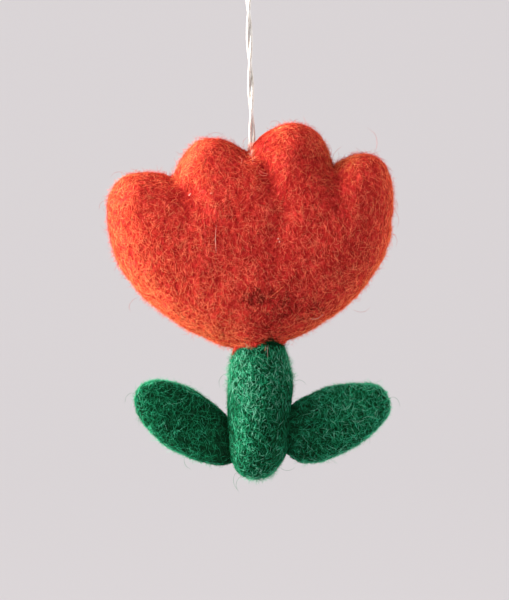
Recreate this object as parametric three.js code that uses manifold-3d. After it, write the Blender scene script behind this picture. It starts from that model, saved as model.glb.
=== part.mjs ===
// Felt flower ornament: a needle-felted blossom of four petals on a short stem with two leaves,
// hung by a doubled cotton cord. Millimetres, +Z up, the front faces -Y.
// The origin is the place on the cord's eye where it rests on a hook.
import * as THREE from 'three';
import { mergeVertices } from 'three/addons/utils/BufferGeometryUtils.js';
import Module from 'manifold-3d';

const wasm = await Module();
wasm.setup();

// Gap between two pieces that sit against each other
const FIT_GAP = 0.3;

// Cord: one strand doubled into a loop, its two legs wound round each other below the eye
const CORD_DIAMETER = 0.9;
const LEG_GAP = 0.45;
const LEG_LENGTH = 42;
const LEG_TURNS = 1.5;
const EYE_HEIGHT = 20;
const EYE_WIDTH = 8;
const PIVOT_RISE = 3;
const BURIED_DEPTH = 12;
const KNOT_RADIUS = 1.3;

// How far the flower leans on its cord, seen from the front
const HANG_TILT_DEGREES = 1.5;

// Blossom: the outline runs over four petals from shoulder to shoulder and round the cup.
// All places on the flower are measured from the point where the cord enters the felt.
const LEFT_REACH = 40.2;
const RIGHT_REACH = 38.9;
const SHOULDER_DROP = 20.5;
const RIGHT_SHOULDER_LIFT = 0.5;
const CUP_DROP = 56.8;
const LEFT_SHOULDER = new THREE.Vector2(-LEFT_REACH, -SHOULDER_DROP);
const LEFT_NOTCH = new THREE.Vector2(-22.1, -8.6);
const CROWN = new THREE.Vector2(-1.1, -1.3);
const RIGHT_NOTCH = new THREE.Vector2(22.4, -5.5);
const RIGHT_SHOULDER = new THREE.Vector2(RIGHT_REACH, RIGHT_SHOULDER_LIFT - SHOULDER_DROP);
const CUP_BOTTOM = new THREE.Vector2(0.8, -CUP_DROP);
const LEFT_CUP_DRAW = 1.32;
const RIGHT_CUP_DRAW = 1.48;
const BLOSSOM_THICKNESS = 27;
const BLOSSOM_EDGE = 18;
const BLOSSOM_HEART = new THREE.Vector2(6, -40);
const SKIN_THICKNESS = 2.5;

// Each petal rises over the chord between its two notches; its peak leans along the chord,
// and its shoulders are drawn in by a power of the sine
const FAR_LEFT_RISE = 7.7;
const MID_LEFT_RISE = 7.5;
const MID_RIGHT_RISE = 10.6;
const FAR_RIGHT_RISE = 10.5;
const FAR_LEFT_LEAN = -1.0;
const MID_LEFT_LEAN = -0.2;
const MID_RIGHT_LEAN = 0.4;
const FAR_RIGHT_LEAN = -2.6;
const PETALS = [
  {
    name: 'far_left',
    from: LEFT_SHOULDER,
    to: LEFT_NOTCH,
    rise: FAR_LEFT_RISE,
    lean: FAR_LEFT_LEAN,
    draw: 1.9,
  },
  {
    name: 'mid_left',
    from: LEFT_NOTCH,
    to: CROWN,
    rise: MID_LEFT_RISE,
    lean: MID_LEFT_LEAN,
    draw: 2.15,
  },
  {
    name: 'mid_right',
    from: CROWN,
    to: RIGHT_NOTCH,
    rise: MID_RIGHT_RISE,
    lean: MID_RIGHT_LEAN,
    draw: 1.6,
  },
  {
    name: 'far_right',
    from: RIGHT_NOTCH,
    to: RIGHT_SHOULDER,
    rise: FAR_RIGHT_RISE,
    lean: FAR_RIGHT_LEAN,
    draw: 1.65,
  },
];

// Stem: a soft round rod, widest at its middle, whose tail is needled into the blossom
const STEM_X = 2.3;
const STEM_RADIUS = 8.8;
const STEM_TOP_RADIUS = 5.6;
const STEM_FOOT_RADIUS = 7.5;
const STEM_LENGTH = 41;
const STEM_SWELL_HEIGHT = 24;
const STEM_FOOT_ROUND = 9;
const STEM_FOOT_SHIFT = 1.5;
const STEM_BOTTOM = -92.5;
const TAIL_RADIUS = 5;
const TAIL_DEPTH = 14;

// Leaves: flat pads that spring from the stem's sides, each with a root needled into the stem
const LEAF_THICKNESS = 8;
const LEAF_EDGE = 5.5;
const LEAF_SET_BACK = 1;
const ROOT_REACH = 5;
const ROOT_HALF_WIDTH = 3;
const ROOT_HALF_THICKNESS = 2.2;
const LEFT_LEAF_LENGTH = 34.4;
const LEFT_LEAF_WIDTH = 17.2;
const LEFT_LEAF_SIDE = 5.7;
const LEFT_LEAF_HEIGHT = 5.9;
const RIGHT_LEAF_LENGTH = 32.7;
const RIGHT_LEAF_WIDTH = 18.6;
const RIGHT_LEAF_SIDE = 5.9;
const RIGHT_LEAF_HEIGHT = 9.8;
const LEAVES = [
  {
    name: 'leaf_left',
    x: STEM_X - LEFT_LEAF_SIDE,
    z: STEM_BOTTOM + LEFT_LEAF_HEIGHT,
    angle: 146.4,
    length: LEFT_LEAF_LENGTH,
    halfWidth: LEFT_LEAF_WIDTH / 2,
    egg: 0.05,
    draw: 1.04,
  },
  {
    name: 'leaf_right',
    x: STEM_X + RIGHT_LEAF_SIDE,
    z: STEM_BOTTOM + RIGHT_LEAF_HEIGHT,
    angle: 23.2,
    length: RIGHT_LEAF_LENGTH,
    halfWidth: RIGHT_LEAF_WIDTH / 2,
    egg: -0.18,
    draw: 0.8,
  },
];

// Fineness of the faceted forms
const PETAL_STEPS = 10;
const CUP_STEPS = 8;
const LEAF_STEPS = 32;
const PAD_RINGS = 6;
const EDGE_PARTS = 8;
const STEM_STEPS = 10;
const FOOT_STEPS = 5;
const STEM_SIDES = 24;
const TAIL_SIDES = 20;
const HOLE_SIDES = 12;
const BALL_SIDES = 16;
const BALL_BANDS = 10;
const CORD_SIDES = 8;
const LEG_STEPS = 40;
const EYE_STEPS = 36;
const KNOT_STEPS = 40;
const KNOT_SIDES = 6;

// Places that follow from the sizes above
const CORD_RADIUS = CORD_DIAMETER / 2;
const LEG_OFFSET = (CORD_DIAMETER + LEG_GAP) / 2;
const CORD_HOLE_RADIUS = LEG_OFFSET + CORD_RADIUS + FIT_GAP;
const NECK_Z = -EYE_HEIGHT;
const PIVOT_Z = NECK_Z - LEG_LENGTH;
const TAIL_TOP = CUP_BOTTOM.y + TAIL_DEPTH;

const feltRed = new THREE.MeshStandardMaterial({ color: 0xc8402a, roughness: 0.95, metalness: 0 });
const feltGreen = new THREE.MeshStandardMaterial({ color: 0x1f7a4d, roughness: 0.95, metalness: 0 });
const coreWool = new THREE.MeshStandardMaterial({ color: 0xe8dfcc, roughness: 0.98, metalness: 0 });
const cotton = new THREE.MeshStandardMaterial({ color: 0xece4d6, roughness: 0.85, metalness: 0 });

// A closed geometry as a solid that can be joined and cut
function solid(geometry) {
  const plain = geometry.clone();
  plain.deleteAttribute('normal');
  plain.deleteAttribute('uv');
  const merged = mergeVertices(plain, 1e-4);
  const corners = merged.index.array;
  const kept = [];
  for (let i = 0; i < corners.length; i += 3) {
    const [a, b, c] = [corners[i], corners[i + 1], corners[i + 2]];
    if (a !== b && b !== c && c !== a) {
      kept.push(a, b, c);
    }
  }
  const vertProperties = new Float32Array(merged.attributes.position.array);
  const triVerts = new Uint32Array(kept);
  return new wasm.Manifold(new wasm.Mesh({ numProp: 3, vertProperties, triVerts }));
}

// A finished solid as a named mesh
function piece(name, body, material) {
  const mesh = body.getMesh();
  const geometry = new THREE.BufferGeometry();
  geometry.setAttribute('position', new THREE.BufferAttribute(mesh.vertProperties, 3));
  geometry.setIndex(new THREE.BufferAttribute(mesh.triVerts, 1));
  geometry.computeVertexNormals();
  const made = new THREE.Mesh(geometry, material);
  made.name = name;
  return made;
}

// One petal's edge: a half turn over its chord, without its last point
function petalEdge(petal) {
  const along = petal.to.clone().sub(petal.from);
  const half = along.length() / 2;
  along.normalize();
  const up = new THREE.Vector2(-along.y, along.x);
  const middle = petal.from.clone().add(petal.to).multiplyScalar(0.5);
  const points = [];
  for (let i = 0; i < PETAL_STEPS; i += 1) {
    const turn = Math.PI * (1 - i / PETAL_STEPS);
    const height = Math.abs(Math.sin(turn)) ** petal.draw;
    const shift = half * Math.cos(turn) + petal.lean * height;
    const point = middle.clone();
    point.addScaledVector(along, shift);
    point.addScaledVector(up, petal.rise * height);
    points.push(point);
  }
  return points;
}

// One side of the cup, a quarter turn between a shoulder and the bottom
function cupPoint(shoulder, draw, turn) {
  const across = Math.abs(Math.cos(turn)) ** draw;
  const down = Math.sin(turn);
  const x = CUP_BOTTOM.x + (shoulder.x - CUP_BOTTOM.x) * across;
  const z = shoulder.y + (CUP_BOTTOM.y - shoulder.y) * down;
  return new THREE.Vector2(x, z);
}

// The blossom's whole outline, clockwise from the left shoulder as seen from the front
function blossomOutline() {
  const points = PETALS.flatMap(petalEdge);
  for (let i = 0; i < CUP_STEPS; i += 1) {
    points.push(cupPoint(RIGHT_SHOULDER, RIGHT_CUP_DRAW, (Math.PI / 2) * (i / CUP_STEPS)));
  }
  for (let i = 0; i < CUP_STEPS; i += 1) {
    points.push(cupPoint(LEFT_SHOULDER, LEFT_CUP_DRAW, (Math.PI / 2) * (1 - i / CUP_STEPS)));
  }
  return points;
}

// A leaf's outline about its own axis, clockwise from its root, with the leaf along +X
function leafOutline(leaf) {
  const points = [];
  for (let i = 0; i < LEAF_STEPS; i += 1) {
    const turn = (2 * Math.PI * i) / LEAF_STEPS;
    const along = (1 - Math.cos(turn)) / 2;
    const wave = Math.sin(turn);
    const side = Math.sign(wave) * Math.abs(wave) ** leaf.draw;
    const width = leaf.halfWidth * side * (1 + leaf.egg * (2 * along - 1));
    points.push(new THREE.Vector2(leaf.length * along, width));
  }
  return points;
}

// The outline moved inward by a distance, or outward where it is negative
function inset(outline, distance) {
  return outline.map((point, i) => {
    const before = outline[(i + outline.length - 1) % outline.length];
    const after = outline[(i + 1) % outline.length];
    const along = after.clone().sub(before).normalize();
    return new THREE.Vector2(point.x + along.y * distance, point.y - along.x * distance);
  });
}

// Short stretches of the outline, for measuring the distance to it
function edgeStretches(outline) {
  const stretches = [];
  outline.forEach((point, i) => {
    const next = outline[(i + 1) % outline.length];
    const length = point.distanceTo(next) / EDGE_PARTS;
    for (let k = 0; k < EDGE_PARTS; k += 1) {
      const middle = point.clone().lerp(next, (k + 0.5) / EDGE_PARTS);
      stretches.push({ x: middle.x, z: middle.y, length });
    }
  });
  return stretches;
}

// Smooth distance to the outline: the whole edge counts, its nearest stretches the most
function edgeDistance(x, z, stretches) {
  let pull = 0;
  for (const stretch of stretches) {
    const square = (x - stretch.x) ** 2 + (z - stretch.z) ** 2;
    pull += stretch.length / (square * square);
  }
  return Math.cbrt(Math.PI / 2 / pull);
}

// A felted pad: round at its outline, and thicker the farther a point is from the edge
function padForm(outline, heart, halfThickness, edge) {
  const stretches = edgeStretches(outline);
  const count = outline.length;
  const rows = [];
  for (let ring = 1; ring < PAD_RINGS; ring += 1) {
    const reach = Math.sin((Math.PI / 2) * (ring / PAD_RINGS));
    rows.push(outline.map((point) => heart.clone().lerp(point, reach)));
  }
  const swell = (point) => {
    const distance = edgeDistance(point.x, point.y, stretches);
    return halfThickness * Math.sqrt(1 - Math.exp((-2 * distance) / edge));
  };
  const positions = [];
  const addRow = (row, side) => row.forEach((p) => positions.push(p.x, side * swell(p), p.y));
  positions.push(heart.x, -swell(heart), heart.y);
  rows.forEach((row) => addRow(row, -1));
  outline.forEach((p) => positions.push(p.x, 0, p.y));
  rows.slice().reverse().forEach((row) => addRow(row, 1));
  positions.push(heart.x, swell(heart), heart.y);
  return ringedGeometry(positions, count);
}

// Closed geometry from a first pole, rings of the same count, and a last pole
function ringedGeometry(positions, count) {
  const last = positions.length / 3 - 1;
  const rings = (last - 1) / count;
  const index = [];
  for (let i = 0; i < count; i += 1) {
    const next = (i + 1) % count;
    index.push(0, 1 + next, 1 + i);
    for (let ring = 0; ring < rings - 1; ring += 1) {
      const inner = 1 + ring * count;
      const outer = inner + count;
      index.push(inner + i, inner + next, outer + i);
      index.push(inner + next, outer + next, outer + i);
    }
    const rim = 1 + (rings - 1) * count;
    index.push(last, rim + i, rim + next);
  }
  const geometry = new THREE.BufferGeometry();
  geometry.setAttribute('position', new THREE.Float32BufferAttribute(positions, 3));
  geometry.setIndex(index);
  return geometry;
}

// The blossom's form, inset all round by a depth
function blossomForm(depth) {
  const outline = inset(blossomOutline(), depth);
  return solid(padForm(outline, BLOSSOM_HEART, BLOSSOM_THICKNESS / 2 - depth, BLOSSOM_EDGE));
}

// A turned solid from a profile of radius and height, upright at a place
function turned(profile, sides, x, z) {
  const points = profile.map(([radius, height]) => new THREE.Vector2(radius, height));
  const geometry = new THREE.LatheGeometry(points, sides);
  geometry.rotateX(Math.PI / 2);
  geometry.translate(x, 0, z);
  return geometry;
}

// The stem's radius at a height above its foot
function stemRadius(height) {
  const above = height > STEM_SWELL_HEIGHT;
  const end = above ? STEM_TOP_RADIUS : STEM_FOOT_RADIUS;
  const span = above ? STEM_LENGTH - STEM_SWELL_HEIGHT : STEM_SWELL_HEIGHT;
  const away = (height - STEM_SWELL_HEIGHT) / span;
  const body = STEM_RADIUS - (STEM_RADIUS - end) * away * away;
  const rise = Math.min(height / STEM_FOOT_ROUND, 1);
  return body * Math.sqrt(1 - (1 - rise) ** 2);
}

// Where the stem's middle lies at a height above its foot, which bends to one side
function stemMiddle(height) {
  const below = Math.max(0, 1 - height / STEM_SWELL_HEIGHT);
  return STEM_X - STEM_FOOT_SHIFT * below * below;
}

// The stem's rod, up into the blossom's bottom
function stemRod() {
  const profile = [[0, 0]];
  for (let i = 1; i < FOOT_STEPS; i += 1) {
    const height = STEM_FOOT_ROUND * (i / FOOT_STEPS) ** 2;
    profile.push([stemRadius(height), height]);
  }
  for (let i = 0; i <= STEM_STEPS; i += 1) {
    const height = STEM_FOOT_ROUND + ((STEM_LENGTH - STEM_FOOT_ROUND) * i) / STEM_STEPS;
    profile.push([stemRadius(height), height]);
  }
  profile.push([0, STEM_LENGTH]);
  const geometry = turned(profile, STEM_SIDES, 0, 0);
  const position = geometry.attributes.position;
  for (let i = 0; i < position.count; i += 1) {
    const height = position.getZ(i);
    position.setXYZ(i, position.getX(i) + stemMiddle(height), position.getY(i), height + STEM_BOTTOM);
  }
  return solid(geometry);
}

// The stem's tail inside the blossom, larger all round by a gap where it is a socket
function stemTail(gap) {
  const radius = TAIL_RADIUS + gap;
  const bottom = CUP_BOTTOM.y - 2 * STEM_FOOT_ROUND / 3;
  const height = TAIL_TOP + gap - bottom;
  const shoulder = height - TAIL_RADIUS / 2;
  const profile = [[0, 0], [radius, 0], [radius, shoulder], [radius * 0.65, height], [0, height]];
  return solid(turned(profile, TAIL_SIDES, STEM_X, bottom));
}

// A shape laid along a leaf's axis, at the leaf's place on the stem
function alongLeaf(geometry, leaf) {
  geometry.rotateY(-THREE.MathUtils.degToRad(leaf.angle));
  geometry.translate(leaf.x, LEAF_SET_BACK, leaf.z);
  return solid(geometry);
}

// How far along a leaf's axis the stem's surface lies
function stemSurfaceAlong(leaf) {
  const angle = THREE.MathUtils.degToRad(leaf.angle);
  let along = 0;
  const outside = (distance) => {
    const height = leaf.z + distance * Math.sin(angle) - STEM_BOTTOM;
    const x = leaf.x + distance * Math.cos(angle);
    return Math.abs(x - stemMiddle(height)) > stemRadius(height);
  };
  while (along < leaf.length && !outside(along)) {
    along += 0.1;
  }
  return along;
}

// A leaf's root, half in the leaf and half in the stem, larger by a gap where it is a pocket
function leafRoot(leaf, gap) {
  const geometry = new THREE.SphereGeometry(1, BALL_SIDES, BALL_BANDS);
  geometry.scale(ROOT_REACH + gap, ROOT_HALF_THICKNESS + gap, ROOT_HALF_WIDTH + gap);
  geometry.translate(stemSurfaceAlong(leaf), 0, 0);
  return alongLeaf(geometry, leaf);
}

// A leaf's pad before the stem is cut from it
function leafPad(leaf) {
  const outline = leafOutline(leaf);
  const heart = new THREE.Vector2(leaf.length / 2, 0);
  return alongLeaf(padForm(outline, heart, LEAF_THICKNESS / 2, LEAF_EDGE), leaf);
}

// The same rod, larger by the gap that the leaves keep to it
function stemClearance() {
  const grow = 1 + FIT_GAP / STEM_FOOT_RADIUS;
  return stemRod().translate([-STEM_X, 0, 0]).scale([grow, grow, 1]).translate([STEM_X, 0, 0]);
}

// A round cord along a curve
function cordTube(curve, steps) {
  const ring = [];
  for (let i = 0; i < CORD_SIDES; i += 1) {
    const turn = (2 * Math.PI * i) / CORD_SIDES;
    ring.push(new THREE.Vector2(CORD_RADIUS * Math.cos(turn), CORD_RADIUS * Math.sin(turn)));
  }
  return new THREE.ExtrudeGeometry(new THREE.Shape(ring), { steps, extrudePath: curve });
}

// One leg's line: it winds round the cord's middle, and both legs lie side by side at each end
class LegCurve extends THREE.Curve {
  constructor(side) {
    super();
    this.side = side;
  }

  getPoint(t, target = new THREE.Vector3()) {
    const turn = 2 * Math.PI * LEG_TURNS * t;
    const x = this.side * LEG_OFFSET * Math.cos(turn);
    const y = this.side * LEG_OFFSET * Math.sin(turn);
    return target.set(x, y, PIVOT_Z + (LEG_LENGTH - FIT_GAP) * t);
  }
}

// The eye's line: up from the neck, round the hook and down again
function eyeCurve() {
  const top = CORD_RADIUS;
  const half = EYE_WIDTH / 2;
  const side = [
    new THREE.Vector3(LEG_OFFSET, 0, NECK_Z),
    new THREE.Vector3(LEG_OFFSET + half * 0.12, 0, NECK_Z + EYE_HEIGHT * 0.2),
    new THREE.Vector3(half * 0.68, 0, NECK_Z + EYE_HEIGHT * 0.52),
    new THREE.Vector3(half, 0, NECK_Z + EYE_HEIGHT * 0.8),
    new THREE.Vector3(half * 0.66, 0, top - EYE_HEIGHT * 0.045),
  ];
  const other = side.map((p) => new THREE.Vector3(-p.x, 0, p.z)).reverse();
  return new THREE.CatmullRomCurve3([...side, new THREE.Vector3(0, 0, top), ...other]);
}

// The buried end of the cord: two short ends under the pivot, tied in an overhand knot
function cordAnchor() {
  const top = PIVOT_RISE - CORD_RADIUS - FIT_GAP / 2;
  let body = solid(new THREE.TorusKnotGeometry(KNOT_RADIUS, CORD_RADIUS, KNOT_STEPS, KNOT_SIDES, 2, 3));
  body = body.translate([0, 0, -BURIED_DEPTH]);
  for (const side of [-1, 1]) {
    const from = new THREE.Vector3(side * LEG_OFFSET, 0, top);
    const to = new THREE.Vector3(side * LEG_OFFSET, 0, -BURIED_DEPTH);
    body = body.add(solid(cordTube(new THREE.LineCurve3(from, to), 1)));
  }
  return body;
}

// The room for the cord's buried end: a channel from the crown and a pocket for the knot
function cordChannel() {
  const r = CORD_HOLE_RADIUS;
  const length = PIVOT_RISE + BURIED_DEPTH + 4;
  const profile = [[0, 0], [r, 0], [r, length], [0, length]];
  const channel = solid(turned(profile, HOLE_SIDES, 0, -BURIED_DEPTH));
  const room = 1.5 * KNOT_RADIUS + CORD_RADIUS + FIT_GAP;
  const pocket = new THREE.SphereGeometry(room, BALL_SIDES, BALL_BANDS);
  pocket.translate(0, 0, -BURIED_DEPTH);
  return channel.add(solid(pocket));
}

// The least gap between the two legs, measured on points of their lines
function leastLegGap() {
  const left = new LegCurve(-1).getPoints(LEG_STEPS * 4);
  const right = new LegCurve(1).getPoints(LEG_STEPS * 4);
  const nearest = (point) => Math.min(...right.map((other) => point.distanceTo(other)));
  return Math.min(...left.map(nearest)) - CORD_DIAMETER;
}

// The core's four petals: the inside form, parted along seams that run from the notches to the tail
function petalCores(cuts) {
  const root = new THREE.Vector2(STEM_X, TAIL_TOP - TAIL_RADIUS);
  const below = new THREE.Vector2(STEM_X, CUP_BOTTOM.y - TAIL_DEPTH);
  const seams = [below, LEFT_NOTCH, CROWN, RIGHT_NOTCH, below];
  const whole = cuts.reduce((body, cut) => body.subtract(cut), blossomForm(SKIN_THICKNESS + FIT_GAP));
  return PETALS.map((petal, i) => {
    const body = sideOf(sideOf(whole, root, seams[i], 1), root, seams[i + 1], -1);
    return piece(`petal_core_${petal.name}`, body, coreWool);
  });
}

// What lies to one side of the line from a root to a seam's end, less half a gap
function sideOf(body, root, end, side) {
  const along = end.clone().sub(root).normalize();
  const normal = [side * along.y, 0, -side * along.x];
  const offset = normal[0] * root.x + normal[2] * root.y + FIT_GAP / 2;
  return body.trimByPlane(normal, offset);
}

// The cord above the felt
const ornament = new THREE.Group();
ornament.add(piece('cord_eye', solid(cordTube(eyeCurve(), EYE_STEPS)), cotton));
ornament.add(piece('cord_leg_left', solid(cordTube(new LegCurve(-1), LEG_STEPS)), cotton));
ornament.add(piece('cord_leg_right', solid(cordTube(new LegCurve(1), LEG_STEPS)), cotton));
console.log(`least gap between the cord's legs ${leastLegGap().toFixed(2)} mm`);

// The flower hangs from the pivot at the cord's foot and leans a little on it
const hang = new THREE.Group();
hang.position.set(0, 0, PIVOT_Z);
hang.rotation.y = THREE.MathUtils.degToRad(HANG_TILT_DEGREES);
const flower = new THREE.Group();
flower.position.set(0, 0, -PIVOT_RISE);
hang.add(flower);
ornament.add(hang);

const socket = stemTail(FIT_GAP);
const channel = cordChannel();
flower.add(piece('cord_anchor', cordAnchor(), cotton));
const skin = blossomForm(0).subtract(blossomForm(SKIN_THICKNESS)).subtract(socket).subtract(channel);
flower.add(piece('blossom_skin', skin, feltRed));
petalCores([socket, channel]).forEach((core) => flower.add(core));

const seat = blossomForm(-FIT_GAP);
let stem = stemRod().subtract(seat).add(stemTail(0));
LEAVES.forEach((leaf) => {
  stem = stem.subtract(leafRoot(leaf, FIT_GAP));
  const blade = leafPad(leaf).subtract(stemClearance()).add(leafRoot(leaf, 0));
  flower.add(piece(leaf.name, blade, feltGreen));
});
flower.add(piece('stem', stem, feltGreen));

export default ornament;
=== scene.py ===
# %% [markdown]
# # A felt flower on a doubled cord
# The ornament is a flower of dyed wool. A felting needle has pricked the wool until it holds its form, and a
# cotton string, doubled into a loop, carries it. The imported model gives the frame: where the hook is, where the
# cord twists and bends, and which piece moves with what. This lesson dresses that frame with the real surfaces.

# %% Load the frame
import math
from functools import partial

import bpy
import numpy as np
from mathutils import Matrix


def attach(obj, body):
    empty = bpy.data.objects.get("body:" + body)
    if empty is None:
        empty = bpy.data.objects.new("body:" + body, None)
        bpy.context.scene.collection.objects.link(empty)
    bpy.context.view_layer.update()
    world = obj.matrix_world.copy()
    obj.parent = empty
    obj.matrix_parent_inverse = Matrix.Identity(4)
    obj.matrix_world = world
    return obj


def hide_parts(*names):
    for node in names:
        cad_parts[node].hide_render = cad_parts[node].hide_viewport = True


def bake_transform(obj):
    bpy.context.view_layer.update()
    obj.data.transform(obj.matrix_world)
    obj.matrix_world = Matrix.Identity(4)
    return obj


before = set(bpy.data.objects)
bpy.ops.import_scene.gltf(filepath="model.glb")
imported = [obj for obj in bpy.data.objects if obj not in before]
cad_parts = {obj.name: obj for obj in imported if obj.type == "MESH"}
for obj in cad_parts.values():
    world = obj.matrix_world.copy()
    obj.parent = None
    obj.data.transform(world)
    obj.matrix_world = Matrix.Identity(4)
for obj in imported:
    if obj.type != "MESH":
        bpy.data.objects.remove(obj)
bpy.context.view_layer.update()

# %% [markdown]
# ## Where things are
# Sizes on the flower are easiest in millimetres, counted from the point where the cord enters the felt. The
# flower hangs from a pivot just above that point, and leans on it by a degree and a half. One helper does that
# whole step, from millimetres on the flower to metres in the frame, for any array of points.

# %% From the flower to the frame
MM = 0.001
PIVOT_Z = -62.0
PIVOT_RISE = 3.0
HANG_TILT = math.radians(1.5)


def hung(points):
    """Points on the flower (mm) as points in the frame (m): measured from the pivot, turned about Y by the
    lean, lowered to the pivot's height."""
    x, y, z = np.moveaxis(np.asarray(points, float), -1, 0)
    up = z - PIVOT_RISE
    across = x * math.cos(HANG_TILT) + up * math.sin(HANG_TILT)
    height = up * math.cos(HANG_TILT) - x * math.sin(HANG_TILT) + PIVOT_Z
    return np.stack([across, y, height], -1) * MM


print("the cord enters the felt at", hung([0, 0, 0]).round(4))

# %% [markdown]
# ## Camera
# The photograph is taken straight from the front with a long lens, and is 509 by 600 pixels. One pixel is 0.28 mm
# on the flower, and the cord enters the felt at pixel (252, 148), so the middle of the picture is a known place on
# the flower. The cord in the picture leans by the same degree and a half, so the camera is rolled by it.

# %% Camera
PHOTO = np.array([509.0, 600.0])
PIXEL = 0.28
CORD_PIXEL = np.array([252.0, 148.0])
CAMERA_DISTANCE = 0.80
SENSOR_WIDTH = 36.0

middle = (PHOTO / 2 - CORD_PIXEL) * PIXEL
aim = hung([middle[0], 0.0, -middle[1]])
lens = bpy.data.cameras.new("camera")
lens.sensor_fit = "HORIZONTAL"
lens.sensor_width = SENSOR_WIDTH
lens.lens = SENSOR_WIDTH * CAMERA_DISTANCE / (PHOTO[0] * PIXEL * MM)
camera = bpy.data.objects.new("camera", lens)
camera.location = aim + [0, -CAMERA_DISTANCE, 0]
camera.rotation_euler = (math.pi / 2, HANG_TILT, 0)
bpy.context.collection.objects.link(camera)
bpy.context.scene.camera = camera
bpy.context.scene.view_settings.view_transform = "Standard"
print("lens of", round(lens.lens, 1), "mm,", CAMERA_DISTANCE, "m from the flower")

# %% [markdown]
# ## From arrays to a mesh
# Every piece is worked out as whole arrays of points and triangles. This helper turns such arrays into a mesh
# object that sits at the origin. The enclosed volume tells whether the triangles look outwards: if it comes out
# below nothing, all of them are turned round.

# %% Mesh helpers


def skin_of_rings(rings, count):
    """Triangles of a closed skin: a first pole, then rings of the same count of points, then a last pole."""
    here = np.arange(count)
    following = (here + 1) % count
    start = 1 + np.arange(rings - 1)[:, None] * count
    a, b = start + here, start + following
    halves = [np.stack([a, b, a + count], -1), np.stack([b, b + count, a + count], -1)]
    first = np.stack([np.zeros(count, int), 1 + following, 1 + here], -1)
    rim = 1 + (rings - 1) * count
    last = np.stack([np.full(count, rim + count), rim + here, rim + following], -1)
    return np.concatenate([first, *(half.reshape(-1, 3) for half in halves), last])


def facing_out(points, faces):
    """The faces, turned round if the volume they enclose is negative: a sixth of the sum of a . (b x c)."""
    a, b, c = np.moveaxis(points[faces], 1, 0)
    return faces if np.einsum("ij,ij->", a, np.cross(b, c)) > 0 else faces[:, ::-1]


def mesh_piece(name, points, faces, patches=None):
    """A smooth mesh object at the origin. patches, if given, is one place in the UV map for each point."""
    mesh = bpy.data.meshes.new(name)
    mesh.vertices.add(len(points))
    mesh.vertices.foreach_set("co", np.ascontiguousarray(points, np.float32).ravel())
    corners = np.ascontiguousarray(faces, np.int32).ravel()
    mesh.loops.add(len(corners))
    mesh.loops.foreach_set("vertex_index", corners)
    mesh.polygons.add(len(faces))
    mesh.polygons.foreach_set("loop_start", np.arange(0, len(corners), 3, dtype=np.int32))
    mesh.update(calc_edges=True)
    if patches is not None:
        layer = mesh.uv_layers.new(name="OFBake")
        layer.data.foreach_set("uv", np.ascontiguousarray(patches[corners], np.float32).ravel())
    mesh.shade_smooth()
    piece = bpy.data.objects.new(name, mesh)
    bpy.context.collection.objects.link(piece)
    return piece


def unit(vectors):
    """Each vector divided by its own length."""
    return vectors / np.maximum(np.linalg.norm(vectors, axis=-1, keepdims=True), 1e-12)


print("a tube of 4 rings of 6 points has", len(skin_of_rings(4, 6)), "triangles")

# %% [markdown]
# ## The hanging cord
# One cotton string is doubled. Its two legs wind loosely round each other, and above the picture they part into
# the eye that goes over a hook. A curve object with a bevel would give a smooth tube, but a real string is
# twisted from plies. So a ring with three low humps is carried along the string's line, and turns as it goes. The
# line comes first: two legs, and an eye that is given by half its width at six heights.

# %% The string's line
CORD_DIAMETER = 0.9
STRAND_OFFSET = 0.47
LEG_LENGTH = 42.0
LEG_TURNS = 1.5
NECK_Z = -20.0
EYE_HALF_WIDTH = 4.0
EYE_RISE = np.array([0.0, 0.2, 0.52, 0.8, 0.978, 1.0225])
EYE_HALF = np.array([STRAND_OFFSET, STRAND_OFFSET + 0.55, 2.72, EYE_HALF_WIDTH, 2.64, 0.0])
LEG_POINTS = 200
EYE_POINTS = 160
STRING_STEP = 0.22


def leg_line(side):
    """One leg (mm): it climbs from the pivot to the neck and circles the cord's middle LEG_TURNS times."""
    climb = np.linspace(0, 1, LEG_POINTS)
    turn = 2 * np.pi * LEG_TURNS * climb
    around = np.stack([np.cos(turn), np.sin(turn)], -1) * side * STRAND_OFFSET
    return np.column_stack([around, PIVOT_Z + LEG_LENGTH * climb])


def smooth_line(corners, count):
    """A line through the corners: between two of them, a cubic whose slope at each is half the step from the
    corner before it to the corner after."""
    padded = np.vstack([2 * corners[0] - corners[1], corners, 2 * corners[-1] - corners[-2]])
    place = np.linspace(0, len(corners) - 1 - 1e-9, count)
    k = place.astype(int)
    t = (place - k)[:, None]
    p0, p1, p2, p3 = (padded[k + i] for i in range(4))
    return p1 + 0.5 * t * (p2 - p0 + t * (2 * p0 - 5 * p1 + 4 * p2 - p3 + t * (3 * (p1 - p2) + p3 - p0)))


def even_steps(line, step):
    """The same line, with points a step apart along its own length."""
    run = np.concatenate([[0], np.cumsum(np.linalg.norm(np.diff(line, axis=0), axis=1))])
    at = np.linspace(0, run[-1], int(round(run[-1] / step)) + 1)
    return np.stack([np.interp(at, run, line[:, i]) for i in range(3)], -1)


right_half = np.column_stack([EYE_HALF, 0 * EYE_HALF, NECK_Z * (1 - EYE_RISE)])
eye = smooth_line(np.vstack([right_half * [-1, 1, 1], right_half[-2::-1]]), EYE_POINTS)
cord_line = even_steps(np.vstack([leg_line(1)[:-1], eye, leg_line(-1)[::-1][1:]]), STRING_STEP)

# %% [markdown]
# The ring's distance from the line has three humps, one for each ply, and they wind about once in three
# diameters. At both ends the ring shrinks to a point on a half circle, so the string ends in a round tip that
# sits on the pivot, where it meets the short ends that go into the felt.

# %% A twisted string along a line
STRING_SIDES = 15
PLIES = 3
PLY_PITCH = 2.6
PLY_GROOVE = 0.84
PLY_HUMP = 0.2
TIP_STEPS = 5
DEPTH_AXIS = np.array([0.0, 1.0, 0.0])


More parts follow.
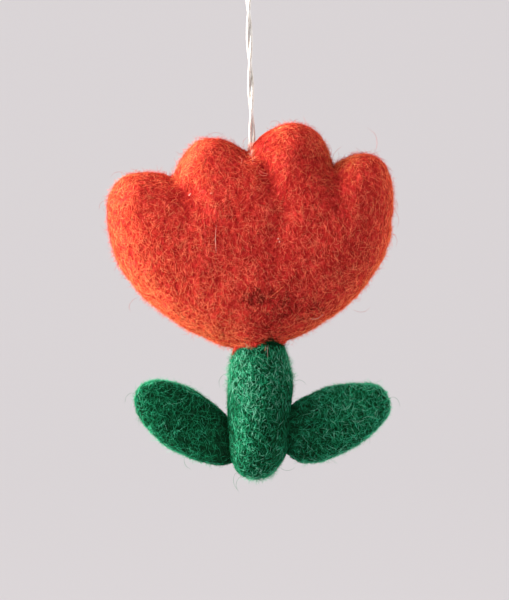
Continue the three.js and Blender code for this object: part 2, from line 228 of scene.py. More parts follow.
def string_skin(line, radius, across):
    """A closed tube. The ring at each point of the line stands square to it; its distance from the line is
    radius x (groove + hump |cos (plies / 2) (angle - winding)|), and the tips follow half a circle."""
    step = np.linalg.norm(np.diff(line, axis=0), axis=1)
    run = np.concatenate([[0], np.cumsum(step)])
    along = unit(np.gradient(line, axis=0))
    right = unit(np.cross(along, across))
    front = np.cross(right, along)
    from_end = np.minimum(run, run[-1] - run)
    tip = np.sqrt(np.clip(1 - (1 - np.minimum(from_end / radius, 1)) ** 2, 0, 1))
    angle = np.linspace(0, 2 * np.pi, STRING_SIDES, endpoint=False)
    winding = 2 * np.pi * run[:, None] / PLY_PITCH
    reach = radius * (PLY_GROOVE + PLY_HUMP * np.abs(np.cos(PLIES / 2 * (angle - winding)))) * tip[:, None]
    spoke = np.cos(angle)[None, :, None] * right[:, None] + np.sin(angle)[None, :, None] * front[:, None]
    rings = (line[:, None] + reach[..., None] * spoke)[1:-1]
    points = np.concatenate([line[:1], rings.reshape(-1, 3), line[-1:]])
    return points, facing_out(points, skin_of_rings(len(rings), STRING_SIDES))


def with_tips(line, reach):
    """The line, made longer at both ends by a reach, for the round tips."""
    first = line[0] + unit(line[0] - line[1]) * np.linspace(reach, 0, TIP_STEPS)[:-1, None]
    last = line[-1] + unit(line[-1] - line[-2]) * np.linspace(0, reach, TIP_STEPS)[1:, None]
    return np.vstack([first, line, last])


radius = CORD_DIAMETER / 2
tipped = with_tips(cord_line, radius)
points, faces = string_skin(tipped, radius, DEPTH_AXIS)
cord = mesh_piece("cord", points * MM, faces)
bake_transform(cord)
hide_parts("cord_eye", "cord_leg_left", "cord_leg_right")
print("cord:", len(faces), "triangles")

# %% [markdown]
# Below the pivot the two ends go down into the felt and are tied in an overhand knot, which keeps them there.
# The knot is a line that winds three times round a small circle while it goes round twice, and the same string
# section follows it.

# %% The buried ends and the knot
BURIED_DEPTH = 12.0
KNOT_RADIUS = 1.3
KNOT_SWING = 0.5
KNOT_RISE = 0.65
KNOT_POINTS = 140
END_POINTS = 60
UP_AXIS = np.array([0.0, 0.0, 1.0])

t = np.linspace(0, 2 * np.pi, KNOT_POINTS)
swing = KNOT_RADIUS * (1 + KNOT_SWING * np.cos(3 * t))
height = KNOT_RISE * np.sin(3 * t) - BURIED_DEPTH
knot_line = np.column_stack([swing * np.cos(2 * t), swing * np.sin(2 * t), height])
down = np.linspace(PIVOT_RISE, -BURIED_DEPTH, END_POINTS)
flat = np.zeros(END_POINTS)
ends = [np.column_stack([flat + side * STRAND_OFFSET, flat, down]) for side in (-1, 1)]
skins = [string_skin(with_tips(line, radius), radius, DEPTH_AXIS) for line in ends]
skins.append(string_skin(knot_line, radius, UP_AXIS))
shift = np.cumsum([0] + [len(p) for p, _ in skins[:-1]])
points = np.concatenate([p for p, _ in skins])
faces = np.concatenate([f + s for (_, f), s in zip(skins, shift)])
cord_root = mesh_piece("cord_root", hung(points), faces)
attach(cord_root, "flower")
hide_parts("cord_anchor")
hung([STRAND_OFFSET, 0, PIVOT_RISE])
print("buried ends and knot:", len(faces), "triangles")

# %% [markdown]
# ## Materials, and a helper for their nodes
# A finish here is a small tree of nodes. To keep each tree readable, one helper adds a node, sets its sockets and
# links what is itself a socket. Patterns read Object coordinates, which are the frame's metres, so a noise of
# scale 250 has spots about 4 mm wide.

# %% Node helper
NODE_STEP = 220


class Finish:
    def __init__(self, name):
        self.material = bpy.data.materials.new(name)
        self.material.use_nodes = True
        self.tree = self.material.node_tree
        self.tree.nodes.clear()
        self.place = 0

    def add(self, kind, settings=None, **sockets):
        """A node of a kind. A socket is given by its name, or by its number after a _; a value is set on it, and
        another node's socket is linked to it."""
        node = self.tree.nodes.new("ShaderNode" + kind)
        node.location = (NODE_STEP * self.place, 0)
        self.place += 1
        for key, value in (settings or {}).items():
            setattr(node, key, value)
        for key, value in sockets.items():
            socket = node.inputs[int(key[1:])] if key[0] == "_" else node.inputs[key.replace("_", " ")]
            if isinstance(value, bpy.types.NodeSocket):
                self.tree.links.new(value, socket)
            else:
                socket.default_value = value
        return node

    def ramp(self, factor, *stops):
        """A colour ramp from pairs of place and colour."""
        node = self.add("ValToRGB", Fac=factor)
        elements = node.color_ramp.elements
        while len(elements) < len(stops):
            elements.new(1.0)
        for element, (place, colour) in zip(elements, stops):
            element.position = place
            element.color = (*colour, 1)
        return node.outputs["Color"]

    def noise(self, scale, stretch=(1, 1, 1), detail=3.0, rough=0.6):
        """Noise on Object coordinates, stretched along the axes."""
        where = self.add("TexCoord").outputs["Object"]
        mapped = self.add("Mapping", Vector=where, Scale=stretch).outputs["Vector"]
        return self.add("TexNoise", Vector=mapped, Scale=scale, Detail=detail, Roughness=rough).outputs["Fac"]

    def finish(self, **sockets):
        """The material, with a principled shader as its last node but one."""
        shader = self.add("BsdfPrincipled", **sockets)
        self.add("OutputMaterial", Surface=shader.outputs["BSDF"])
        return self.material


def wear(piece, material):
    """The piece's only material."""
    piece.data.materials.clear()
    piece.data.materials.append(material)
    return piece


print("finishes are made as they are needed")

# %% [markdown]
# The string is unbleached cotton: off-white, matt, a little darker in the grooves between the plies, with fine
# fibres along it. Two noises do that, one of short streaks along the string for its fibres, and one of slow spots
# for its uneven colour. A bump gives the streaks some depth.

# %% Cotton
cotton = Finish("cotton")
streaks = cotton.noise(2600, (1, 1, 0.25))
spots = cotton.noise(260)
shade = cotton.ramp(streaks, (0.3, (0.46, 0.40, 0.35)), (0.6, (0.70, 0.68, 0.655)))
tint = cotton.ramp(spots, (0.35, (0.90, 0.87, 0.83)), (0.65, (1.0, 1.0, 1.0)))
colour = cotton.add("Mix", {"data_type": "RGBA", "blend_type": "MULTIPLY"}, Factor=1.0, _6=shade, _7=tint)
relief = cotton.add("Bump", Strength=0.4, Distance=0.0001, Height=streaks)
cotton_finish = cotton.finish(Base_Color=colour.outputs[2], Normal=relief.outputs["Normal"], Roughness=0.85,
                              Specular_IOR_Level=0.1, Sheen_Weight=0.2, Sheen_Roughness=0.5)
wear(cord, cotton_finish)
wear(cord_root, cotton_finish)
print("cotton on", cord.name, "and", cord_root.name)

# %% [markdown]
# ## The blossom's outline
# Four petals stand side by side over a round cup. Each petal's edge is a half turn over the chord between its two
# notches. The power of the sine draws the petal's shoulders in, and a lean moves its peak along the chord. The two
# sides of the cup are quarter turns from the outer petals down to the bottom. A petal is then a row of a table: its
# two ends, its rise over the chord, its lean (mm) and the power.

# %% Outline of the blossom
LEFT_SHOULDER = np.array([-40.2, -20.5])
LEFT_NOTCH = np.array([-22.1, -8.6])
CROWN = np.array([-1.1, -1.3])
RIGHT_NOTCH = np.array([22.4, -5.5])
RIGHT_SHOULDER = np.array([38.9, -20.0])
CUP_BOTTOM = np.array([0.8, -56.8])
PETALS = [
    (LEFT_SHOULDER, LEFT_NOTCH, 7.7, -1.0, 1.9),
    (LEFT_NOTCH, CROWN, 7.5, -0.2, 2.15),
    (CROWN, RIGHT_NOTCH, 10.6, 0.4, 1.6),
    (RIGHT_NOTCH, RIGHT_SHOULDER, 10.5, -2.6, 1.65),
]
LEFT_CUP_DRAW = 1.32
RIGHT_CUP_DRAW = 1.48
OUTLINE_POINTS = 420


def petal_edge(start, end, rise, lean, draw, steps=120):
    """The edge from start to end: middle of the chord, plus along it half x cos(t) + lean x height, plus square
    to it rise x height, where height is |sin t| to the power draw."""
    t = np.pi * (1 - np.arange(steps) / steps)[:, None]
    along = end - start
    half = np.linalg.norm(along) / 2
    along = along / (2 * half)
    height = np.abs(np.sin(t)) ** draw
    return (start + end) / 2 + along * (half * np.cos(t) + lean * height) + along[::-1] * [-1, 1] * rise * height


def cup_side(shoulder, draw, steps=160):
    """From a shoulder to the cup's bottom: across by |cos t| to the power draw, down by sin t."""
    t = np.linspace(0, np.pi / 2, steps)[:-1]
    x = CUP_BOTTOM[0] + (shoulder[0] - CUP_BOTTOM[0]) * np.cos(t) ** draw
    return np.column_stack([x, shoulder[1] + (CUP_BOTTOM[1] - shoulder[1]) * np.sin(t)])


def even_loop(loop, count):
    """A closed line with count points at equal steps along it."""
    closed = np.vstack([loop, loop[:1]])
    run = np.concatenate([[0], np.cumsum(np.linalg.norm(np.diff(closed, axis=0), axis=1))])
    at = np.linspace(0, run[-1], count, endpoint=False)
    return np.column_stack([np.interp(at, run, closed[:, i]) for i in (0, 1)])


petals = [petal_edge(*petal) for petal in PETALS]
cup = [cup_side(RIGHT_SHOULDER, RIGHT_CUP_DRAW), CUP_BOTTOM[None], cup_side(LEFT_SHOULDER, LEFT_CUP_DRAW)[:0:-1]]
blossom_outline = even_loop(np.vstack(petals + cup), OUTLINE_POINTS)
print("blossom", np.ptp(blossom_outline, axis=0).round(1), "mm wide and tall")

# %% [markdown]
# ## How thick a felted pad is
# Felt has no hard edge: a pad is thin at its outline and swells away from it. A plain distance to the nearest edge
# would leave ridges down the middle, so the whole edge counts, with its near stretches counting most. That smooth
# distance also dips towards each notch, and so the creases between the petals come out by themselves.

# %% Smooth distance and swell
BLOCK = 2000


def edge_distance(places, outline):
    """Smooth distance (mm) from places to an outline: the cube root of (pi/2) over the sum of ds / r^4. It is
    negative outside, which the turning of the outline round each place tells. Places go by in blocks, to
    save memory."""
    ahead = np.roll(outline, -1, axis=0)
    centre, step = (outline + ahead) / 2, ahead - outline
    length = np.linalg.norm(step, axis=1)
    found = []
    for block in np.array_split(places, max(1, len(places) // BLOCK)):
        away = centre[None] - block[:, None]
        square = np.maximum((away**2).sum(-1), 1e-4)
        turning = ((away[..., 0] * step[:, 1] - away[..., 1] * step[:, 0]) / square).sum(1)
        distance = np.cbrt(np.pi / 2 / (length / square**2).sum(1))
        found.append(np.where(np.abs(turning) > np.pi, distance, -distance))
    return np.concatenate(found)


def swell_square(distance, half_thickness, edge):
    """Half thickness squared at a smooth distance from the edge: T^2 (1 - exp(-2 D / edge))."""
    return half_thickness**2 * (1 - np.exp(-2 * distance / edge))


BLOSSOM_HALF = 13.5
BLOSSOM_EDGE = 18.0
thickest = swell_square(edge_distance(np.array([[0.0, -28.0]]), blossom_outline), BLOSSOM_HALF, BLOSSOM_EDGE)
print("the blossom is", round(2 * float(thickest[0]) ** 0.5, 1), "mm thick in its middle")

# %% [markdown]
# The felt's surface is then everywhere that y squared equals the swell squared. Fibres have to lie on that
# surface, so each felted form also gets a measure: a function that is negative inside, zero on the surface and
# positive outside. For speed a pad's swell is worked out once on a lattice of half millimetres.

# %% Measures of the felted forms
LATTICE = 0.5
MARGIN = 8.0
FAR_OUTSIDE = -6.0
SURFACE_STEPS = 3
LONGEST_STEP = 2.0


def pad_measure(outline, half_thickness, edge):
    """A function of points: y^2 less the swell squared, read between the four nearest lattice places."""
    low = outline.min(0) - MARGIN
    count = np.ceil((np.ptp(outline, axis=0) + 2 * MARGIN) / LATTICE).astype(int) + 1
    across, up = np.meshgrid(*(low[i] + LATTICE * np.arange(count[i]) for i in (0, 1)), indexing="ij")
    distance = edge_distance(np.column_stack([across.ravel(), up.ravel()]), outline)
    table = swell_square(np.maximum(distance, FAR_OUTSIDE), half_thickness, edge).reshape(count)

    def measure(points):
        place = (points[..., [0, 2]] - low) / LATTICE
        cell = np.clip(place.astype(int), 0, count - 2)
        part = np.clip(place - cell, 0, 1)
        i, j, u, v = cell[..., 0], cell[..., 1], part[..., 0], part[..., 1]
        near = table[i, j] * (1 - v) + table[i, j + 1] * v
        far = table[i + 1, j] * (1 - v) + table[i + 1, j + 1] * v
        return points[..., 1] ** 2 - near * (1 - u) - far * u

    return measure


def slope(measure, points, step=0.3):
    """The measure's slope along the three axes, from its values a small step to either side."""
    steps = np.eye(3) * step
    return np.stack([measure(points + s) - measure(points - s) for s in steps], -1) / (2 * step)


def onto(measure, points):
    """Points moved onto the surface, by a few steps of value over slope, and the outward directions there."""
    for _ in range(SURFACE_STEPS):
        lean = slope(measure, points)
        move = measure(points) / np.maximum((lean**2).sum(-1), 1e-3)
        points = points - np.clip(move, -LONGEST_STEP, LONGEST_STEP)[..., None] * lean
    return points, unit(slope(measure, points))


blossom_measure = pad_measure(blossom_outline, BLOSSOM_HALF, BLOSSOM_EDGE)
print("measure in the blossom's middle", blossom_measure(np.array([[0.0, 0.0, -30.0]])).round(1))

# %% [markdown]
# ## Lumps
# Hand-felted wool is never quite even. A handful of slow waves in random directions, always the same because the
# random numbers are seeded, moves the surface in and out by a few tenths of a millimetre.

# %% Lumps of hand felting
WAVES = 28
BLOSSOM_LUMPS = 0.28
TUFT_HEIGHT = 0.11


def wave_field(shortest, longest, seed, stretch=(1, 1, 1)):
    """A function of points: the sum of sines of (k . p + start) in random directions, each as high as its length
    allows, scaled so that most values lie between -1 and 1. A stretch below 1 draws the waves out along an axis."""
    chance = np.random.default_rng(seed)
    length = np.geomspace(shortest, longest, WAVES)
    number = unit(chance.normal(size=(WAVES, 3))) * (2 * np.pi / length)[:, None]
    start = chance.uniform(0, 2 * np.pi, WAVES)
    scale = length / np.sqrt((length**2).sum() / 2) / 2

    def field(points):
        return (np.sin(points * stretch @ number.T + start) * scale).sum(-1)

    return field


slow_lumps = wave_field(5.0, 17.0, 7)
tufts = wave_field(1.7, 4.2, 8)


def lumps(points, strength):
    """Height of the surface's unevenness (mm): slow lumps, and low tufts of wool on top of them."""
    return strength * slow_lumps(points) + TUFT_HEIGHT * tufts(points)


trial = np.random.default_rng(1).uniform(-40, 40, (4000, 3))
print("the felt's unevenness is up to", round(float(np.abs(lumps(trial, BLOSSOM_LUMPS)).max()), 2), "mm")

# %% [markdown]
# The blossom also has a crease below each notch, needled in to part the petals, and a long shallow valley down its
# middle. Each is a groove along a line on the face. The pad's own swell already dips there, and the groove makes
# the dip as sharp as the needle did.

# %% Creases between the petals
GROOVE_PEAK = 0.33
GROOVE_END = 1.15
GROOVE_FADE = 0.82
CREASES = [  # top, foot, depth and width (mm)
    ((-20.4, -7.8), (-15.0, -22.5), 1.9, 3.5),
    ((1.8, -1.0), (9.2, -19.0), 1.7, 3.0),
    ((22.8, -4.8), (25.0, -19.5), 1.7, 3.0),
    ((8.2, -12.0), (5.6, -44.0), 0.5, 3.5),
]


def groove(points, top, foot, depth, width):
    """Depth (mm) of a groove from a top to a foot on the face: a bell across the line, and along it a hump that
    is highest a third of the way down and ends a little past the foot."""
    flat = points[..., [0, 2]] - top
    along = foot - top
    part = (flat @ along) / (along @ along)
    off_line = flat - np.clip(part, 0, 1)[..., None] * along
    hump = np.clip(part / GROOVE_PEAK, 0, 1) * np.clip((GROOVE_END - part) / GROOVE_FADE, 0, 1)
    return depth * np.exp(-((off_line**2).sum(-1)) / width**2) * hump * hump * (3 - 2 * hump)


def crease_depth(points):
    """Depth (mm) of the creases below the three notches and of the long shallow valley."""
    return sum(groove(points, np.array(top), np.array(foot), *size) for top, foot, *size in CREASES)


def blossom_lumps(points):
    """Lumps, less the creases."""
    return lumps(points, BLOSSOM_LUMPS) - crease_depth(points)


print("creases:", len(CREASES), "grooves, up to", max(depth for *_, depth, width in CREASES), "mm deep")

# %% [markdown]
# ## The blossom's skin
# The surface is a grid of two parameters: which point of the outline, and how far from the blossom's heart to it.
# The rings run over the front, round the rim and back over the other face. Every point then moves along its own
# outward direction by the lumps.

# %% Felted pads
PAD_RINGS = 46


def pad_skin(outline, heart, half_thickness, edge, rings=PAD_RINGS):
    """Rings at sin(pi/2 k/rings) of the way from the heart to the outline, at -swell and then at +swell."""
    reach = np.sin(np.pi / 2 * np.arange(1, rings) / rings)[:, None, None]
    flat = heart + reach * (outline - heart)
    distance = edge_distance(np.vstack([heart[None], flat.reshape(-1, 2)]), outline)
    thick = np.sqrt(np.maximum(swell_square(distance, half_thickness, edge), 0))
    face = np.column_stack([np.vstack([heart[None], flat.reshape(-1, 2)]), thick])[:, [0, 2, 1]]
    front, rim = face * [1, -1, 1], np.column_stack([outline[:, 0], 0 * outline[:, 0], outline[:, 1]])
    back = face[1:].reshape(rings - 1, -1, 3)[::-1].reshape(-1, 3)
    points = np.vstack([front, rim, back, face[:1]])
    return points, facing_out(points, skin_of_rings(2 * rings - 1, len(outline)))


def felted(skin, measure, relief):
    """The skin's points moved outwards by the relief."""
    points, faces = skin
    outward = unit(slope(measure, points))
    return points + outward * relief(points)[:, None], faces


HEART = np.array([3.0, -32.0])
even_skin = pad_skin(blossom_outline, HEART, BLOSSOM_HALF, BLOSSOM_EDGE)
points, faces = felted(even_skin, blossom_measure, blossom_lumps)
blossom = mesh_piece("blossom_skin_felt", hung(points), faces)
blossom_skin = points, faces
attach(blossom, "flower")
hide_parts("blossom_skin")
print("blossom:", len(faces), "triangles,", np.ptp(points, axis=0).round(1), "mm")

# %% [markdown]
# ## Core wool
# Inside, each petal has a wad of plain undyed wool, felted first, over which the red skin was laid. The wads are
# hidden, but someone who cuts or repaints the part needs them as pieces of their own. Each is the same pad form:
# the petal's inner edge above, and two straight sides that meet near the stem.

# %% Core wads
CORE_DEPTH = 3.1
WAD_ROOT = np.array([2.1, -47.0])
ROOT_GAP = 0.12
SEAM_GAP = 0.02
BED_SHARE = 0.1
WAD_POINTS = 120
WAD_RINGS = 12
WAD_FLATNESS = 0.92


def inset(outline, depth):
    """The closed outline moved inwards, square to its own direction."""
    along = unit(np.roll(outline, -1, axis=0) - np.roll(outline, 1, axis=0))
    return outline + depth * np.column_stack([along[:, 1], -along[:, 0]])


def bearing(places):
    """The direction from the wads' root to places: radians from straight down, clockwise."""
    turn = np.arctan2(places[..., 1] - WAD_ROOT[1], places[..., 0] - WAD_ROOT[0])
    return np.mod(-turn - np.pi / 2, 2 * np.pi)


inner = inset(blossom_outline, CORE_DEPTH)
around = bearing(inner)
notches = [float(bearing(notch)) for notch in (LEFT_NOTCH, CROWN, RIGHT_NOTCH)]
seams = [ROOT_GAP, *notches, 2 * np.pi - ROOT_GAP]
core_pieces = {}
for name, start, end in zip(("far_left", "mid_left", "mid_right", "far_right"), seams[:-1], seams[1:]):
    arc = inner[(around > start + SEAM_GAP) & (around < end - SEAM_GAP)]
    arc = arc[np.argsort(bearing(arc))]
    bed = WAD_ROOT + BED_SHARE * (arc.mean(0) - WAD_ROOT)
    wad_outline = even_loop(np.vstack([arc, bed[None]]), WAD_POINTS)
    heart = wad_outline.mean(0)
    points, faces = pad_skin(wad_outline, heart, BLOSSOM_HALF - CORE_DEPTH, BLOSSOM_EDGE, WAD_RINGS)
    points[:, 1] *= WAD_FLATNESS
    core_pieces[name] = mesh_piece("core_wad_" + name, hung(points), faces)
    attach(core_pieces[name], "flower")
    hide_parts("petal_core_" + name)
    print("core wad", name, np.ptp(points, axis=0).round(1), "mm")

# %% [markdown]
# Core wool is creamy and matted. Its finish is two noises, one for clumps and one for fine hairs.

# %% Core wool finish
core = Finish("core_wool")
clumps = core.noise(420)
hairs = core.noise(1800, (1, 0.4, 1))
cream = core.ramp(clumps, (0.3, (0.62, 0.55, 0.42)), (0.7, (0.84, 0.79, 0.66)))
relief = core.add("Bump", Strength=0.6, Distance=0.0003, Height=hairs)
core_finish = core.finish(Base_Color=cream, Normal=relief.outputs["Normal"], Roughness=0.95,
                          Specular_IOR_Level=0.1, Sheen_Weight=0.4, Sheen_Roughness=0.6)
for piece in core_pieces.values():
    wear(piece, core_finish)
print("core wool on", len(core_pieces), "wads")

# %% [markdown]
# ## The stem
# The stem is a soft rod, a little thicker in its middle, with a round foot that is pushed to the left. Its surface
# is a circle whose radius and middle follow the height. It goes on up into the blossom, where its wool is needled
# in, and there the blossom's own skin covers it.

# %% Stem
STEM_X = 2.3
STEM_BOTTOM = -92.5
STEM_LENGTH = 41.0
STEM_SWELL = 24.0
STEM_ROUND = 9.0
STEM_BEND = 1.5
STEM_RADIUS = 8.8
STEM_TOP_RADIUS = 5.6
STEM_FOOT_RADIUS = 7.5
STEM_CAP = 1.5
STEM_LUMPS = 0.25
STEM_SIDES = 120
FOOT_RINGS = 24
BODY_RINGS = 80


def stem_middle(height):
    """The middle's x: it bends to the left below the swell, by the square of the way down."""
    return STEM_X - STEM_BEND * np.maximum(0, 1 - height / STEM_SWELL) ** 2


def stem_radius_square(height):
    """Radius squared: a parabola on either side of the swell, times the roundness of the foot."""
    above = height > STEM_SWELL
    end = np.where(above, STEM_TOP_RADIUS, STEM_FOOT_RADIUS)
    span = np.where(above, STEM_LENGTH - STEM_SWELL, STEM_SWELL)
    body = STEM_RADIUS - (STEM_RADIUS - end) * ((height - STEM_SWELL) / span) ** 2
    return body**2 * (1 - (1 - np.minimum(height / STEM_ROUND, 1)) ** 2)


def stem_measure(points):
    """Distance from the stem's middle squared, less the radius squared."""
    height = points[..., 2] - STEM_BOTTOM
    return (points[..., 0] - stem_middle(height)) ** 2 + points[..., 1] ** 2 - stem_radius_square(height)


def stem_lumps(points):
    """Lumps of the stem."""
    return lumps(points, STEM_LUMPS)


foot_levels = STEM_ROUND * (np.arange(1, FOOT_RINGS + 1) / FOOT_RINGS) ** 2
levels = np.concatenate([foot_levels, np.linspace(STEM_ROUND, STEM_LENGTH, BODY_RINGS)[1:]])
angle = np.linspace(0, 2 * np.pi, STEM_SIDES, endpoint=False)
ring = np.sqrt(stem_radius_square(levels))[:, None]
rings = np.stack([stem_middle(levels)[:, None] + ring * np.cos(angle), ring * np.sin(angle),
                  np.broadcast_to((levels + STEM_BOTTOM)[:, None], (len(levels), STEM_SIDES))], -1)
foot = [[stem_middle(0.0), 0, STEM_BOTTOM]]
top = [[STEM_X, 0, STEM_BOTTOM + STEM_LENGTH + STEM_CAP]]
points = np.vstack([foot, rings.reshape(-1, 3), top])
faces = facing_out(points, skin_of_rings(len(levels), STEM_SIDES))
points, faces = felted((points, faces), stem_measure, stem_lumps)
stem = mesh_piece("stem_felt", hung(points), faces)
stem_skin = points, faces
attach(stem, "flower")
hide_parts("stem")
print("stem:", len(faces), "triangles,", np.ptp(points, axis=0).round(1), "mm")

# %% [markdown]
# ## The leaves
# Each leaf is a flat pad with an egg-shaped outline, felted by itself and then needled to the stem's side. It is
# the same pad form as the blossom, worked out along the leaf's own axis and then turned to its place.

# %% Leaves
LEAF_HALF = 4.0
LEAF_EDGE = 5.5
LEAF_SET_BACK = 1.0
LEAF_LUMPS = 0.15
LEAF_POINTS = 170
LEAF_RINGS = 26
LEAVES = {
    "leaf_left": dict(root=(-3.4, -86.6), turn=146.4, length=34.4, half_width=8.6, egg=0.05, draw=1.04),
    "leaf_right": dict(root=(8.2, -82.7), turn=23.2, length=32.7, half_width=9.3, egg=-0.18, draw=0.8),
}


def leaf_outline(length, half_width, egg, draw, **place):
    """Along the leaf (1 - cos t)/2 of its length; across it half_width x sin t to the power draw, fuller by egg
    towards its tip."""
    t = np.linspace(0, 2 * np.pi, 400, endpoint=False)
    along = (1 - np.cos(t)) / 2
    across = half_width * np.sign(np.sin(t)) * np.abs(np.sin(t)) ** draw * (1 + egg * (2 * along - 1))
    return even_loop(np.column_stack([length * along, across]), LEAF_POINTS)


def at_stem(points, root, turn, **shape):
    """From a leaf's own axes to the flower: turned in the plane of the leaf, set back a little, at its root."""
    c, s = math.cos(math.radians(turn)), math.sin(math.radians(turn))
    x, y, z = np.moveaxis(points, -1, 0)
    return np.stack([root[0] + x * c - z * s, y + LEAF_SET_BACK, root[1] + x * s + z * c], -1)


def from_stem(points, root, turn, **shape):
    """The way back, from the flower to a leaf's own axes."""
    c, s = math.cos(math.radians(turn)), math.sin(math.radians(turn))
    x, y, z = points[..., 0] - root[0], points[..., 1] - LEAF_SET_BACK, points[..., 2] - root[1]
    return np.stack([x * c + z * s, y, z * c - x * s], -1)


def leaf_lumps(points):
    """Lumps of the leaves."""
    return lumps(points, LEAF_LUMPS)


leaf_forms = {}
for name, leaf in LEAVES.items():
    outline = leaf_outline(**leaf)
    measure = pad_measure(outline, LEAF_HALF, LEAF_EDGE)
    skin = pad_skin(outline, np.array([leaf["length"] / 2, 0.0]), LEAF_HALF, LEAF_EDGE, LEAF_RINGS)
    points, faces = felted(skin, measure, leaf_lumps)
    piece = mesh_piece(name + "_felt", hung(at_stem(points, **leaf)), faces)
    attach(piece, "flower")
    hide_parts(name)
    leaf_forms[name] = (piece, (points, faces), measure)
    print(name, len(faces), "triangles,", np.ptp(points, axis=0).round(1), "mm")

# %% [markdown]
# ## Dyed felt
# Felt is matt wool seen from close by. Under the loose fibres lies a dense ground whose colour wanders: darker
# pits where the needle went in, streaks where the wool lies in one direction. Sheen stands for the short nap, which
# catches the light at the edges.

# %% Felt ground


def felt_ground(name, dark, body, light, nap, streak):
    """A ground of three tones: slow clouds of colour, pits and streaks, with a bump from the last two."""
    felt = Finish(name)
    clouds = felt.noise(170, detail=2.0)
    pits = felt.noise(900)
    lines = felt.noise(1500, streak)
    rough = felt.add("Math", {"operation": "ADD"}, _0=pits, _1=lines).outputs["Value"]
    both = felt.add("Math", {"operation": "MULTIPLY"}, _0=rough, _1=0.5).outputs["Value"]
    tones = felt.ramp(both, (0.36, dark), (0.52, body), (0.66, light))
    warm = felt.ramp(clouds, (0.3, (0.80, 0.78, 0.78)), (0.7, (1.0, 1.0, 1.0)))
    colour = felt.add("Mix", {"data_type": "RGBA", "blend_type": "MULTIPLY"}, Factor=1.0, _6=tones, _7=warm)
    relief = felt.add("Bump", Strength=0.9, Distance=0.0005, Height=both)
    return felt.finish(Base_Color=colour.outputs[2], Normal=relief.outputs["Normal"], Roughness=0.95,
                       Specular_IOR_Level=0.05, Sheen_Weight=0.3, Sheen_Roughness=0.4, Sheen_Tint=(*nap, 1))


red_felt = felt_ground("red_felt", (0.26, 0.008, 0.008), (0.50, 0.024, 0.022), (0.76, 0.070, 0.055),
                       (1.0, 0.34, 0.08), (1, 1, 0.3))
green_felt = felt_ground("green_felt", (0.002, 0.008, 0.003), (0.004, 0.026, 0.011), (0.010, 0.095, 0.042),
                         (0.25, 1.0, 0.55), (0.7, 1, 0.7))
wear(blossom, red_felt)
wear(stem, green_felt)
for piece, *_ in leaf_forms.values():
    wear(piece, green_felt)
print("felt grounds on blossom, stem and leaves")

# %% [markdown]
# ## Loose fibres
# What makes felt look like felt is its fibres: thousands of fine curly hairs that lie on the ground and stand off
# it at the edges. Hair particles would not come along in an exported part, so each fibre is a thin closed spindle
# of a few triangles. It starts at a random point of the skin and walks over the surface, bending as it goes.

# %% Walking over a surface
WAVINESS = 1.4


def scattered(points, faces, count, chance):
    """Random points of a skin, spread evenly by area: a triangle by its share of the area, then a place in it."""
    a, b, c = np.moveaxis(points[faces], 1, 0)
    area = np.linalg.norm(np.cross(b - a, c - a), axis=1)
    pick = np.searchsorted(np.cumsum(area) / area.sum(), chance.uniform(0, 1, count))
    pick = np.minimum(pick, len(faces) - 1)
    u, v = np.sqrt(chance.uniform(0, 1, count))[:, None], chance.uniform(0, 1, count)[:, None]
    return a[pick] * (1 - u) + b[pick] * u * (1 - v) + c[pick] * u * v


def walked(start, heading, length, bend, form, lift):
    """Lines that walk over a form: at each step, onto its surface, out by its relief and the lift, then on along
    the heading, which is laid flat on the surface and turned by that step's bend."""
    place, way, line, steps = start, heading, [], lift.shape[1]
    for k in range(steps):
        place, outward = onto(form["measure"], place)
        way = unit(way - (way * outward).sum(-1, keepdims=True) * outward)
        line.append(place + outward * (form["relief"](place) + lift[:, k])[:, None])
        side = np.cross(outward, way)
        way = unit(way * np.cos(bend[:, k])[:, None] + side * np.sin(bend[:, k])[:, None])
        place = place + way * (length / (steps - 1))[:, None]
    return np.stack(line, 1)


def bends(count, steps, curl, chance):
    """A turn for each step of each fibre: its own steady curl, and a wave along it."""
    steady = chance.normal(0, curl, count)[:, None]
    begin = chance.uniform(0, 6.3, count)[:, None]
    wave = np.sin(begin + chance.uniform(0.8, 1.8, count)[:, None] * np.arange(steps))
    return steady + WAVINESS * curl * wave


print("a random point of the blossom's skin:", scattered(*blossom_skin, 1, np.random.default_rng(0)).round(1))

# %% [markdown]
# The wool's tone is not the same all over a form. In the creases, and where two pieces are needled together, its
# fibres are painted darker as shade. Two functions of a place tell how much painted shade, from 0 to 1.

# %% Painted shade in creases and joints
NOOK = np.array([2.2, 1.6])
NOOK_WIDTH = 4.0
DARKEST_CREASE = 2.4


def painted_crease_shade(places):
    """Painted shade at places on the blossom: the creases by their depth, and the nook beside the cord, where two
    petals stand close, by a bell."""
    nook = np.exp(-((places[..., [0, 2]] - NOOK) ** 2).sum(-1) / NOOK_WIDTH**2)
    return np.clip(crease_depth(places) / DARKEST_CREASE + nook, 0, 1)


def joint_shade(places, neighbours):
    """Painted shade of places in a joint: exp(-gap / reach), where the gap is a neighbour's measure over its slope,
    for the nearest neighbour. Each neighbour is a way into its own axes, its measure and its reach (mm)."""
    shade = np.zeros(len(places))
    for into, measure, reach in neighbours:
        there = into(places)
        gap = measure(there) / np.maximum(np.linalg.norm(slope(measure, there), axis=-1), 1e-6)
        shade = np.maximum(shade, np.exp(-np.maximum(gap, 0) / reach))
    return shade


print("wool in the left crease is packed by", painted_crease_shade(np.array([[-18.6, -6.0, -12.7]])).round(2))

# %% [markdown]
# At the edges the wool is loose and light comes through the fringe, and on the left flank the key light shines
# into it. There the fibres are painted paler and more orange or mint: painted light. That depends on the way the
# surface faces, so these functions take outward directions.

# %% Painted light at the edges and on the left flanks
# LEFT points towards the key light. LEE points away from it, down to the right, where painted light glows through
# the fringe on the shaded side.
LEFT = np.array([-1.0, 0.0, 0.0])
LEE = np.array([0.8, 0.0, -0.65])


def facing(outward, way):
    """How far outward looks along a way: their product, and nothing when it looks back."""
    return np.clip(outward @ way, 0, 1)


